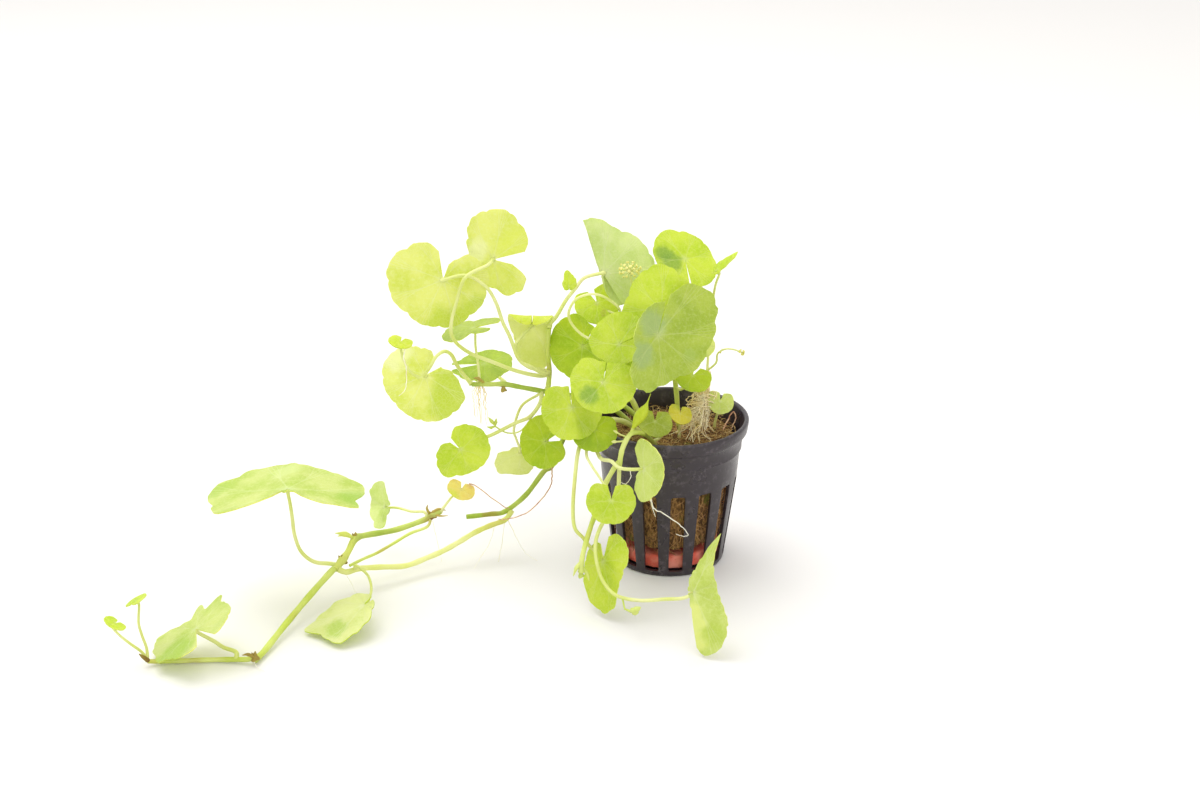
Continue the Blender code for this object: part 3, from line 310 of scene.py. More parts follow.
# Stems and runners: the route, the radius at its first and last point, and buds as (place, radius)
STEMS = {
    "stem_upright_left": dict(
        route=[(-8, 0, 45.6), (-12, 1, 54), (-16, 1, 62), (-17, 1, 70)], radius=(0.95, 0.85)),
    "stem_upright_back": dict(
        route=[(3, 4, 45.6), (2, 5, 58), (0, 5, 70), (-2, 6, 79.6)], radius=(0.9, 0.75)),
    "stem_upright_outer": dict(
        route=[(-40, 1.6, 60), (-39.6, 1.6, 65), (-40, 1.4, 73), (-39.6, 1, 80)],
        radius=(0.9, 0.8)),
    "stem_over_rim": dict(
        route=[(-10, -4, 45.8), (-15, -8, 51), (-19.6, -12, 53.4), (-22, -13.6, 52.8)],
        radius=(0.9, 0.9)),
    "stem_over_front": dict(
        route=[(-6, -12, 45.8), (-9, -18, 51), (-13, -23, 53.4), (-15.6, -27, 51),
               (-16.6, -29, 47.6), (-17, -30, 44.6)], radius=(0.75, 0.85)),
    "stem_front_buds": dict(
        route=[(-18.6, -30, 44.4), (-21, -30.6, 40), (-22, -32, 37), (-23.6, -34.6, 33),
               (-25.8, -38.4, 28.6), (-28.4, -43.4, 21), (-29, -45, 15.4)], radius=(0.8, 0.8),
        buds=[((-29, -45, 14.6), 1.4)]),
    "runner_upper": dict(
        route=[(-14, 6, 45.8), (-20, 6, 51), (-28, 4, 55), (-36, 2, 56.4), (-41, 1, 58),
               (-49, 0, 60), (-54, 0, 61), (-59, 0, 61), (-65, 0, 61)], radius=(0.95, 0.75),
        buds=[((-54.6, -0.6, 59.6), 1.4)]),
    "runner_lower": dict(
        route=[(-12, 12, 45.8), (-18, 14, 50), (-24, 13, 53), (-31, 8, 48), (-36, 4, 38),
               (-39, 2, 31), (-42, 1, 29), (-48, 0, 21), (-55, 0, 15), (-60, 0, 14),
               (-68, 0, 13)], radius=(0.9, 0.85)),
    "runner_pale": dict(
        route=[(-55, -2.4, 13), (-60, -4, 11.6), (-65, -6, 10), (-70, -9, 8), (-75, -12, 6.3),
               (-81, -16, 5.3), (-87, -20, 4.8), (-95, -24, 6.4), (-101, -27, 7.4),
               (-105, -29, 7.2)], radius=(0.9, 0.95)),
    "runner_dark": dict(
        route=[(-76, -5, 17.4), (-79, -5, 16), (-82, -6, 14.6), (-91, -10, 13), (-100, -16, 14),
               (-103, -20, 14.6), (-105, -25, 12), (-107.6, -29, 9.6)], radius=(0.85, 1.15),
        buds=[((-79, -5, 16), 1.8), ((-103, -19.6, 15), 1.9), ((-106.6, -27, 10.4), 2.2)]),
    "runner_thin": dict(
        route=[(-80.6, -7.6, 13), (-86, -10.6, 12), (-91, -15, 10.6), (-96, -19.6, 9.4),
               (-100, -24, 9.4)], radius=(0.5, 0.5)),
    "runner_floor": dict(
        route=[(-109.6, -31.6, 8.6), (-115, -43, 6), (-121, -57, 2.9), (-125, -70, 1.6),
               (-127, -75, 1.5)], radius=(1.1, 0.95), buds=[((-127, -75, 2.5), 1.8)]),
    "runner_tip": dict(
        route=[(-129.6, -75, 1.6), (-136, -74.2, 1.1), (-144, -74.4, 1.0), (-152, -75, 1.0),
               (-159, -76.2, 1.6)], radius=(0.85, 0.7)),
}


# Tones of leaf skin, as light, main, dark, vein and glow colour and gloss
LEAF_TONES = {
    "fresh": ("#EAF08A", "#D6E64E", "#C0D834", "#EAF2AC", "#E2EE48", 0.42),
    "fresh_back": ("#F0F4B0", "#E6EE84", "#D4E352", "#F0F4B8", "#E2EE48", 0.52),
    "pale": ("#F0F4B8", "#E2EC94", "#D0E070", "#F3F6CC", "#E6F080", 0.46),
    "pale_back": ("#F8F9C0", "#F1F296", "#E0E76A", "#F8F9D4", "#F0F270", 0.54),
    "silver_back": ("#F8F9D2", "#F0F2B8", "#E2E894", "#F8F9E0", "#F0F2A0", 0.55),
    "dusty": ("#E8ECB8", "#D4DE90", "#BAD060", "#EAF0C4", "#D8E67E", 0.46),
    "deep": ("#D2E056", "#BCD226", "#A3C31A", "#DBE788", "#D0E030", 0.4),
    "olive": ("#C8D86C", "#B4C846", "#9AB42C", "#D6E294", "#BCD638", 0.42),
    "ashen": ("#D4DE92", "#C0CE66", "#A6BA4C", "#DEE6AC", "#C0D254", 0.46),
    "grey": ("#F0F5C4", "#E4EEA8", "#D2E38A", "#F3F6D2", "#E8F29C", 0.45),
    "front": ("#D4DE88", "#BCCC56", "#A9BE42", "#DEE6A2", "#C8D856", 0.4),
    "meadow": ("#E6EEB0", "#D4E288", "#C4D66C", "#EEF2C8", "#DCE87C", 0.42),
    "yellow": ("#F0F28C", "#E4EC5A", "#CFE03C", "#F4F5A8", "#E6EE4E", 0.42),
    "golden": ("#F6F28C", "#F0E850", "#DED83E", "#F8F4A8", "#F4EC50", 0.42),
    "autumn": ("#FBF3B0", "#F2E68A", "#EBD27A", "#FBF3C4", "#F6EC74", 0.45),
    "mossy": ("#DCE284", "#C4D050", "#A6B83A", "#E0E6A0", "#C8D84C", 0.48),
}

# Tones of the upper side and the underside where they aren't the common ones
LEAF_FINISH = {
    "leaf_left_large": ("fresh", "pale_back"), "leaf_left_top": ("fresh", "pale_back"),
    "leaf_left_low": ("fresh", "pale_back"), "leaf_left_cupped": ("yellow", "silver_back"),
    "leaf_hanging_pale": ("pale", "silver_back"), "leaf_floor_pointed": ("silver_back", "fresh"),
    "leaf_tall_folded": ("grey", "grey"), "leaf_upright_small": ("grey", "grey"),
    "leaf_front_large": ("front", "fresh_back"), "leaf_arched_large": ("dusty", "pale_back"),
    "leaf_far_folded": ("dusty", "pale_back"), "leaf_yellow": ("autumn", "autumn"),
    "leaf_left_young": ("yellow", "yellow"), "leaf_pot_yellow": ("golden", "golden"),
    "leaf_pot_pale": ("pale", "pale_back"), "leaf_right_pale": ("pale", "pale_back"),
    "leaf_dark_left": ("deep", "fresh_back"), "leaf_rim_dark": ("deep", "fresh_back"),
    "leaf_crown_dark": ("deep", "fresh_back"), "leaf_pot_dark": ("deep", "fresh_back"),
    "leaf_rim_round": ("deep", "fresh_back"), "leaf_left_inner": ("olive", "fresh_back"),
    "leaf_left_flat": ("ashen", "fresh_back"), "leaf_pot_round": ("mossy", "fresh_back"),
    "leaf_floor_tall": ("meadow", "pale_back"), "leaf_front_folded": ("meadow", "pale_back"),
}

# Bruised, water-soaked, faded and brighter places of the blades, and patches of painted shade and
# painted shadow, as middle, radius and shade
LEAF_STAINS_AND_SHADE = {
    # The two grey-green patches are painted shade, where the folded-back half turns away from the
    # light
    "leaf_front_large": [
        ((-6.9, -18.6, 89.0), 5.6, "#B4C890"),
        ((-10.6, -23.6, 80.6), 5.4, "#B4C890"),
        ((5.1, -20.6, 78.8), 2.8, "#B4CA64")],
    # A painted shadow, cast on the blade by the leaves above it
    "leaf_crown_low": [((-26.2, -27.3, 68.1), 3.5, "#8CB44E")],
    # Both dark patches are a painted shadow of the neighbouring leaves
    "leaf_top_round": [
        ((-0.2, 10.9, 98.6), 4.4, "#88AE50"),
        ((-2.8, 12.6, 101.2), 4.0, "#88AE50")],
    "leaf_left_large": [
        ((-60.0, -10.4, 88.0), 10.0, "#C4D842"),
        ((-72.0, -10.0, 84.0), 8.0, "#C8DA4A")],
    "leaf_left_top": [
        ((-62.0, -1.0, 107.0), 4.4, "#FAFAE0"),
        ((-50.0, 0.0, 108.0), 7.0, "#E6EE74")],
    "leaf_left_low": [
        ((-70.0, -13.4, 63.0), 10.0, "#C4D846"),
        ((-88.0, -5.4, 73.0), 6.0, "#FAFAD8")],
    "leaf_yellow": [
        ((-65.5, -4.0, 28.0), 2.6, "#EDB890"),
        ((-72.0, -9.0, 24.6), 3.4, "#DDE85A"),
        ((-72.0, -8.4, 24.0), 1.1, "#A8BC3A")],
    "leaf_floor_pointed": [
        ((-104.0, -60.0, 3.0), 4.6, "#BCD65C"),
        ((-97.0, -58.0, 3.0), 3.6, "#C4DA68")],
    "leaf_upright_small": [((-94.0, -2.5, 14.0), 4.4, "#B8CE66")],
    "leaf_arched_large": [
        ((-100.0, -36.0, 36.0), 7.0, "#A6CC48"),
        ((-146.0, -25.0, 34.0), 6.0, "#B4D058"),
        ((-124.0, -22.0, 39.0), 6.0, "#DEE8A4")],
    "leaf_far_folded": [((-150.0, -80.0, 8.0), 8.0, "#B0D050")],
    "leaf_pot_yellow": [((3.0, -7.0, 57.0), 2.8, "#C4D650")],
    "leaf_looped": [((-21.7, 6.0, 83.9), 1.6, "#B4A45C"), ((-24.0, 8.0, 86.5), 1.2, "#BCB068")],
    "leaf_floor_tall": [
        ((5.8, -65.0, 13.0), 3.2, "#F0F4A0"),
        ((6.8, -67.5, 9.0), 3.4, "#F0F4A0"),
        ((7.6, -70.0, 5.0), 3.4, "#EEF29A"),
        ((11.0, -70.0, 8.0), 4.4, "#C4D85C")],
}
STAIN_AND_SHADE_SHOWS = 0.75
DARK_LEAVES = ("leaf_dark_left", "leaf_rim_dark", "leaf_crown_dark", "leaf_pot_dark")


def from_hex(code):
    """Linear red, green, blue and alpha of an sRGB hex colour."""
    parts = [int(code[i:i + 2], 16) / 255 for i in (1, 3, 5)]
    return (*[c / 12.92 if c <= 0.04045 else ((c + 0.055) / 1.055) ** 2.4 for c in parts], 1.0)


def add_node(tree, kind, settings=None, *inputs, **named):
    """Add a node, set its settings, and fill its inputs in their order or by name with values,
    sockets or nodes, of which the first output is taken."""
    node = tree.nodes.new(kind)
    for key, value in (settings or {}).items():
        setattr(node, key, value)
    used = [socket for socket in node.inputs if socket.enabled]
    pairs = list(zip(used, inputs))
    pairs += [(next(k for k in used if k.name.replace(" ", "_") == key), value)
              for key, value in named.items()]
    for socket, value in pairs:
        if value is None:
            continue
        if isinstance(value, bpy.types.Node):
            value = next(k for k in value.outputs if k.enabled)
        if isinstance(value, bpy.types.NodeSocket):
            tree.links.new(value, socket)
        else:
            socket.default_value = value
    return node


# Kinds of nodes with their settings
TIMES = ("ShaderNodeMath", {"operation": "MULTIPLY"})
PLUS = ("ShaderNodeMath", {"operation": "ADD"})
MINUS = ("ShaderNodeMath", {"operation": "SUBTRACT"})
SIZE_OF = ("ShaderNodeMath", {"operation": "ABSOLUTE"})
LESSER = ("ShaderNodeMath", {"operation": "MINIMUM"})
BLEND = ("ShaderNodeMix", {"data_type": "RGBA"})
RISE = ("ShaderNodeMapRange", {"interpolation_type": "SMOOTHSTEP"})
CLOUDS = ("ShaderNodeTexNoise", {})


def every(millimetres):
    """The scale of a pattern whose cells are this many millimetres across."""
    return 1.0 / (millimetres * MM)


def new_material(name):
    """An empty material, its node tree and the object's own coordinates."""
    material = bpy.data.materials.new(name)
    material.use_nodes = True
    tree = material.node_tree
    tree.nodes.clear()
    return material, tree, add_node(tree, "ShaderNodeTexCoord").outputs["Object"]


def lay_surface(tree, colour, rough, relief=None, ior=1.45, leak=0.0, glow=None):
    """The finished surface, of which the part named leak lets light through in a glow colour."""
    surface = add_node(tree, "ShaderNodeBsdfPrincipled", {}, Base_Color=colour, Roughness=rough,
                       IOR=ior, Normal=relief)
    if leak:
        through = add_node(tree, "ShaderNodeBsdfTranslucent", {}, Color=glow or colour,
                           Normal=relief)
        surface = add_node(tree, "ShaderNodeMixShader", {}, leak, surface, through)
    add_node(tree, "ShaderNodeOutputMaterial", {}, surface)


VEIN_FORK = 0.3
VEIN_TWIG = 0.16
VEIN_WIDTH = (0.05, 0.026)
VEIN_SHOWS = 0.34
HUB_SHOWS = 0.5
NET_CELL = 1.25


def vein_lines(tree):
    """1 on the veins and 0 between them, and the distance from the hub as a part of the reach."""
    spread = add_node(tree, "ShaderNodeUVMap", {"uv_map": "blade"})
    split = add_node(tree, "ShaderNodeSeparateXYZ", {}, spread)
    aside = add_node(tree, *SIZE_OF, split.outputs[0])
    share = split.outputs[1]
    branch = add_node(tree, *TIMES, add_node(tree, *RISE, share, 0.3, 1.25), VEIN_FORK)
    first = add_node(tree, *SIZE_OF, add_node(tree, *MINUS, aside, branch))
    twig = add_node(tree, *TIMES, add_node(tree, *RISE, share, 0.6, 1.2), VEIN_TWIG)
    second = add_node(tree, *SIZE_OF, add_node(tree, *MINUS, first, twig))
    nearest = add_node(tree, *LESSER, aside, second)
    width = add_node(tree, *RISE, share, 0.0, 1.0, *VEIN_WIDTH)
    return add_node(tree, *MINUS, 1.0, add_node(tree, *RISE, nearest, 0.0, width)), share


def stain_and_shade_place(tree, place, middle, radius):
    """1 inside a ball with a ragged edge and 0 outside it."""
    away = add_node(tree, "ShaderNodeVectorMath", {"operation": "DISTANCE"}, place,
                    tuple(c * MM for c in middle)).outputs["Value"]
    uneven = add_node(tree, *CLOUDS, place, every(0.9 * radius), 4.0, 0.6)
    edge = add_node(tree, *PLUS, away, add_node(tree, *TIMES, uneven, -1.2 * radius * MM))
    return add_node(tree, *RISE, edge, -0.1 * radius * MM, 0.5 * radius * MM, 1.0, 0.0)


def leaf_skin(name, tone, stains_and_shade=()):
    """Fresh leaf: a thin waxy skin over wet green cells, so it shines softly and lets light
    through, with pale veins that fan out from the stalk and a faint net between them."""
    light, main, dark, vein, glow = (from_hex(code) for code in tone[:5])
    gloss = tone[5]
    material, tree, place = new_material(name)
    lines, share = vein_lines(tree)
    cells = add_node(tree, "ShaderNodeTexVoronoi", {"feature": "DISTANCE_TO_EDGE"},
                     Vector=place, Scale=every(NET_CELL))
    net = add_node(tree, *MINUS, 1.0, add_node(tree, *RISE, cells, 0.0, 0.12))
    clouds = add_node(tree, *CLOUDS, place, every(9.0), 3.0)
    specks = add_node(tree, *CLOUDS, place, every(1.1), 3.0, 0.6)
    hub = add_node(tree, *RISE, share, 0.0, 0.2, HUB_SHOWS, 0.0)
    colour = add_node(tree, *BLEND, add_node(tree, *RISE, clouds, 0.36, 0.66), main, dark)
    colour = add_node(tree, *BLEND, add_node(tree, *RISE, specks, 0.45, 0.75, 0.0, 0.45),
                      colour, light)
    # Stained places, and patches of painted shade and painted shadow on some blades
    for middle, radius, shade in stains_and_shade:
        cover = add_node(tree, *TIMES, stain_and_shade_place(tree, place, middle, radius), STAIN_AND_SHADE_SHOWS)
        colour = add_node(tree, *BLEND, cover, colour, from_hex(shade))
    colour = add_node(tree, *BLEND, add_node(tree, *TIMES, net, 0.2), colour, light)
    colour = add_node(tree, *BLEND, add_node(tree, *TIMES, lines, VEIN_SHOWS), colour, vein)
    colour = add_node(tree, *BLEND, hub, colour, vein)
    ribs = add_node(tree, *PLUS, add_node(tree, *TIMES, lines, -0.8),
                    add_node(tree, *TIMES, net, -0.35))
    relief = add_node(tree, "ShaderNodeBump", {}, Strength=0.5, Distance=0.12 * MM, Height=ribs)
    rough = add_node(tree, *RISE, specks, 0.3, 0.7, gloss - 0.06, gloss + 0.08)
    glowing = add_node(tree, *BLEND, 0.5, colour, glow)
    lay_surface(tree, colour, rough, relief, 1.42, 0.44, glowing)
    return material


def stem_skin(name, light, main, blush, tint, paler=None):
    """Fresh stem: smooth and juicy, paler where it is stretched, a little red at the joints."""
    material, tree, place = new_material(name)
    clouds = add_node(tree, *CLOUDS, place, every(14.0), 2.0)
    fine = add_node(tree, *CLOUDS, place, every(0.8), 3.0, 0.6)
    flush = add_node(tree, *CLOUDS, place, every(11.0), 1.0)
    colour = add_node(tree, *BLEND, add_node(tree, *RISE, clouds, 0.35, 0.68), from_hex(main),
                      from_hex(light))
    colour = add_node(tree, *BLEND, add_node(tree, *RISE, fine, 0.45, 0.8, 0.0, 0.35), colour,
                      from_hex(light))
    if paler:
        start, end, shade = paler
        along = add_node(tree, "ShaderNodeSeparateXYZ", {}, place)
        share = add_node(tree, *RISE, add_node(tree, *TIMES, along, -1.0), -start * MM, -end * MM)
        colour = add_node(tree, *BLEND, share, colour, from_hex(shade))
    colour = add_node(tree, *BLEND, add_node(tree, *RISE, flush, 0.58, 0.75, 0.0, tint), colour,
                      from_hex(blush))
    relief = add_node(tree, "ShaderNodeBump", {}, Strength=0.35, Distance=0.06 * MM, Height=fine)
    lay_surface(tree, colour, add_node(tree, *RISE, fine, 0.3, 0.7, 0.34, 0.5), relief, 1.42, 0.3)
    return material


def root_skin(name, pale, shade):
    """Root hair: thin, dull and nearly white, with tan where it has dried."""
    material, tree, place = new_material(name)
    clouds = add_node(tree, *CLOUDS, place, every(3.0), 3.0)
    colour = add_node(tree, *BLEND, add_node(tree, *RISE, clouds, 0.4, 0.72), from_hex(pale),
                      from_hex(shade))
    lay_surface(tree, colour, 0.6, leak=0.3)
    return material


def moulded_plastic(name, colour, worn):
    """Polypropylene, injection moulded: satin with fine flow marks, paler dust and scuffs."""
    material, tree, place = new_material(name)
    flow = add_node(tree, "ShaderNodeMapping", {}, Vector=place, Scale=(1.0, 1.0, 0.12))
    marks = add_node(tree, *CLOUDS, flow, every(0.9), 4.0, 0.6)
    clouds = add_node(tree, *CLOUDS, place, every(8.0), 3.0)
    dust = add_node(tree, *CLOUDS, place, every(2.2), 5.0, 0.7)
    scuffs = add_node(tree, *RISE, dust, 0.5, 0.74)
    shade = add_node(tree, *BLEND, add_node(tree, *TIMES, scuffs, 0.42), from_hex(colour),
                     from_hex(worn))
    rough = add_node(tree, *PLUS, add_node(tree, *RISE, clouds, 0.3, 0.7, 0.24, 0.38),
                     add_node(tree, *TIMES, scuffs, 0.14))
    grain = add_node(tree, *CLOUDS, place, every(0.25), 2.0)
    height = add_node(tree, *PLUS, marks, add_node(tree, *TIMES, grain, 0.4))
    relief = add_node(tree, "ShaderNodeBump", {}, Strength=0.3, Distance=0.08 * MM, Height=height)
    lay_surface(tree, shade, rough, relief, 1.49)
    return material


def spun_rockwool(name, dark, main, light, moss):
    """Rockwool that has stood in water: matted brown fibres with darker wet hollows and algae."""
    material, tree, place = new_material(name)
    strands = add_node(tree, "ShaderNodeMapping", {}, Vector=place, Scale=(1.0, 1.0, 0.25),
                       Rotation=(0.3, 0.2, 0.0))
    fibre = add_node(tree, *CLOUDS, strands, every(0.7), 5.0, 0.7)
    damp = add_node(tree, *CLOUDS, place, every(2.6), 3.0, 0.6)
    clouds = add_node(tree, *CLOUDS, place, every(6.0), 3.0)
    colour = add_node(tree, *BLEND, add_node(tree, *RISE, fibre, 0.34, 0.62), from_hex(dark),
                      from_hex(main))
    colour = add_node(tree, *BLEND, add_node(tree, *RISE, fibre, 0.55, 0.8), colour,
                      from_hex(light))
    colour = add_node(tree, *BLEND, add_node(tree, *RISE, damp, 0.5, 0.68, 0.0, 0.75), colour,
                      from_hex(dark))
    colour = add_node(tree, *BLEND, add_node(tree, *RISE, clouds, 0.57, 0.72, 0.0, 0.55), colour,
                      from_hex(moss))
    relief = add_node(tree, "ShaderNodeBump", {}, Strength=0.9, Distance=0.6 * MM, Height=fibre)
    lay_surface(tree, colour, 0.95, relief)
    return material


def fired_clay(name, main, light, dark):
    """Unglazed clay, pressed and fired: matt, grainy, with pores and paler dust."""
    material, tree, place = new_material(name)
    grain = add_node(tree, *CLOUDS, place, every(0.5), 5.0, 0.7)
    clouds = add_node(tree, *CLOUDS, place, every(5.0), 3.0)
    pores = add_node(tree, "ShaderNodeTexVoronoi", {}, Vector=place, Scale=every(1.1))
    colour = add_node(tree, *BLEND, add_node(tree, *RISE, clouds, 0.35, 0.65), from_hex(main),
                      from_hex(light))
    colour = add_node(tree, *BLEND, add_node(tree, *RISE, pores, 0.0, 0.22, 0.6, 0.0), colour,
                      from_hex(dark))
    height = add_node(tree, *PLUS, grain, add_node(tree, *RISE, pores, 0.0, 0.25))
    relief = add_node(tree, "ShaderNodeBump", {}, Strength=0.6, Distance=0.2 * MM, Height=height)
    lay_surface(tree, colour, 0.9, relief)
    return material


def let_go():
    """Deselect everything and leave edit mode."""
    if bpy.context.object and bpy.context.object.mode != "OBJECT":
        bpy.ops.object.mode_set(mode="OBJECT")
    bpy.ops.object.select_all(action="DESELECT")


def pick(*objects):
    """Select these objects, the first one active."""
    let_go()
    for thing in objects:
        thing.select_set(True)
    bpy.context.view_layer.objects.active = objects[0]


def edit(thing):
    """Open an object in edit mode with everything in it selected."""
    pick(thing)
    bpy.ops.object.mode_set(mode="EDIT")
    bpy.ops.mesh.select_all(action="SELECT")


def apply_all(thing):
    """Apply every modifier of an object."""
    pick(thing)
    for modifier in list(thing.modifiers):
        bpy.ops.object.modifier_apply(modifier=modifier.name)


def join(name, *objects):
    """Join objects into the first one and name it."""
    pick(*objects)
    if len(objects) > 1:
        bpy.ops.object.join()
    piece = bpy.context.view_layer.objects.active
    piece.name = name
    piece.data.name = name
    return piece


def settle(piece, slot, *nodes):
    """The piece rides with the plant and takes the place of its solids."""
    bpy.ops.object.select_all(action="DESELECT")
    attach(piece, "root")
    if nodes:
        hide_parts(*nodes)
    return piece


def smooth_step(value):
    """0 below 0, 1 above 1, smooth between."""
    value = min(max(value, 0.0), 1.0)
    return value * value * (3.0 - 2.0 * value)


def smooth_route(points, pieces):
    """Points along a Catmull-Rom curve through the route's own points."""
    points = [Vector(p) for p in points]
    padded = [2 * points[0] - points[1], *points, 2 * points[-1] - points[-2]]
    curve = []
    for a, b, c, d in zip(padded, padded[1:], padded[2:], padded[3:]):
        for step in range(pieces):
            t = step / pieces
            curve.append(0.5 * (2 * b + (c - a) * t + (2 * a - 5 * b + 4 * c - d) * t**2
                                + (3 * b - a - 3 * c + d) * t**3))
    curve.append(points[-1])
    return curve


def draw_strands(name, strands, roundness, *skins):
    """Closed round tubes, each from its (points, radii), as one mesh with its materials."""
    bpy.ops.object.select_all(action="DESELECT")
    bpy.ops.curve.primitive_nurbs_path_add()
    path = bpy.context.object
    path.name = name
    curve = path.data
    curve.splines.clear()
    curve.dimensions = "3D"
    curve.bevel_depth = MM
    curve.bevel_resolution = roundness
    curve.use_fill_caps = True
    for points, radii in strands:
        spline = curve.splines.new("POLY")
        spline.points.add(len(points) - 1)
        for corner, point, radius in zip(spline.points, points, radii):
            corner.co = (*(Vector(point) * MM), 1.0)
            corner.radius = radius
    pick(path)
    bpy.ops.object.convert(target="MESH")
    path = bpy.context.object
    edit(path)
    bpy.ops.mesh.remove_doubles(threshold=0.000008)
    bpy.ops.mesh.normals_make_consistent(inside=False)
    soften(path, 60)
    return finish_with(path, *skins)


def soften(piece, degrees):
    """Shade a piece smooth, except across edges sharper than this."""
    pick(piece)
    bpy.ops.object.shade_smooth_by_angle(angle=math.radians(degrees))


def finish_with(piece, *materials):
    """Give a piece its materials."""
    piece.data.materials.clear()
    for material in materials:
        piece.data.materials.append(material)
    return piece


def blade_frame(leaf):
    """The blade's directions: across, towards the tip, and out of the upper side."""
    azimuth, elevation = (math.radians(a) for a in leaf["face"])
    normal = Vector((math.sin(azimuth) * math.cos(elevation),
                     -math.cos(azimuth) * math.cos(elevation), math.sin(elevation)))
    downhill = Vector((math.sin(azimuth) * math.sin(elevation),
                       -math.cos(azimuth) * math.sin(elevation), -math.cos(elevation)))
    roll = math.radians(leaf["roll"])
    tip = downhill * math.cos(roll) + normal.cross(downhill) * math.sin(roll)
    return tip.cross(normal), tip, normal


def margin_reach(leaf, turn):
    """How far the margin is from the hub, as a part of the reach, at a turn from the tip."""
    outline = leaf.get("outline")
    if outline:
        for (turn_a, reach_a), (turn_b, reach_b) in zip(outline, outline[1:]):
            if turn <= turn_b or turn_b == outline[-1][0]:
                share = smooth_step((turn - turn_a) / (turn_b - turn_a))
                return reach_a + (reach_b - reach_a) * share
    away = abs(turn)
    broad = BREADTH * math.sin(math.radians(away)) ** 2
    return 1.0 + broad - SINUS_SHORTENING * smooth_step((away - BASE_LOBES_FROM) / BASE_LOBES_SPAN)


def scallop(place):
    """The rounded edge of a row of lobes: 0 in the notches between them and 1 on their crests."""
    return abs(math.sin(math.pi * place)) ** SCALLOP_BLUNTNESS


def blade_point(leaf, frame_ways, turn, share, lobe_place):
    """A point of the blade, from its turn from the tip, its share of the way to the margin and
    its place along the row of lobes."""
    size = leaf["reach"]
    x_way, y_way, z_way = frame_ways
    cut = NOTCH_DEPTH * (1.0 - scallop(lobe_place))
    cut += TOOTH_DEPTH * (1.0 - scallop(lobe_place * TEETH_PER_LOBE))
    reach = size * share * margin_reach(leaf, turn) * (1.0 - share**3 * cut)
    angle = math.radians(turn)
    across = reach * math.sin(angle)
    along = reach * math.cos(angle)
    part = reach / size
    wave = leaf.get("wave", 0.0) * math.sin(WAVES_ROUND * angle)
    lift = size * part**2 * (leaf.get("cup", 0.0) + wave)
    ribs = abs(math.sin(math.pi * lobe_place))
    lift += PUFF * smooth_step(size / PUFF_FULL_REACH) * share * (1.2 - share) * (0.6 - ribs)
    lift += SWAY * size * share**3 * math.sin(math.pi * lobe_place + size)
    fold = leaf.get("fold", (0.0, 0.0))[across > 0]
    side = math.copysign(1.0, across)
    bend = math.radians(fold) * smooth_step(abs(across) / (CREASE * size))
    out = abs(across) * math.cos(bend) - lift * math.sin(bend)
    up = abs(across) * math.sin(bend) + lift * math.cos(bend)
    curl = math.radians(leaf.get("curl", (0.0, 0.0))[along < 0]) / size
    if abs(curl) > 1e-6:
        arc = curl * abs(along)
        turned = (1.0 / curl - up) * math.sin(arc)
        up = 1.0 / curl - (1.0 / curl - up) * math.cos(arc)
        along = math.copysign(turned, along)
    return Vector(leaf["hub"]) + x_way * out * side + y_way * along + z_way * up


def cut_template(lobes):
    """A flat round blade, open at the sinus: rings of corners drawn in from the margin to the hub.

    Its faces look down, because a blade's turns run clockwise and so bring its upper side out."""
    count = lobes * STEPS_PER_LOBE + 1
    bpy.ops.object.select_all(action="DESELECT")
    bpy.ops.mesh.primitive_circle_add(vertices=count, radius=1.0)
    disc = bpy.context.object
    edit(disc)
    last = 1.0
    for share in RINGS:
        bpy.ops.mesh.extrude_edges_move()
        bpy.ops.transform.resize(value=(share / last, share / last, 1.0))
        last = share
    bpy.ops.mesh.extrude_edges_move()
    bpy.ops.mesh.merge(type="CENTER")
    let_go()
    first = math.atan2(disc.data.vertices[0].co.y, disc.data.vertices[0].co.x)
    step = math.tau / count
    places = []
    for vert in disc.data.vertices:
        turn = (math.atan2(vert.co.y, vert.co.x) - first) % math.tau
        places.append((round(turn / step) % count, min(vert.co.length, 1.0)))
    edit(disc)
    bpy.ops.mesh.select_all(action="DESELECT")
    bm = bmesh.from_edit_mesh(disc.data)
    bm.verts.ensure_lookup_table()
    for face in bm.faces:
        numbers = {places[v.index][0] for v in face.verts if places[v.index][1] > 0.01}
        face.select_set({0, count - 1} <= numbers)
    bmesh.update_edit_mesh(disc.data)
    bpy.ops.mesh.delete(type="ONLY_FACE")
    if disc.data.polygons[0].normal.z > 0:
        bpy.ops.mesh.select_all(action="SELECT")
        bpy.ops.mesh.flip_normals()
    let_go()
    return disc, places


# The room that the middle of a blade may take, so that its thickness stays inside the solids' box
BLADE_ROOM = ([c + 0.6 * BLADE_THICKNESS * MM for c in cad_box[0]],
              [c - 0.6 * BLADE_THICKNESS * MM for c in cad_box[1]])


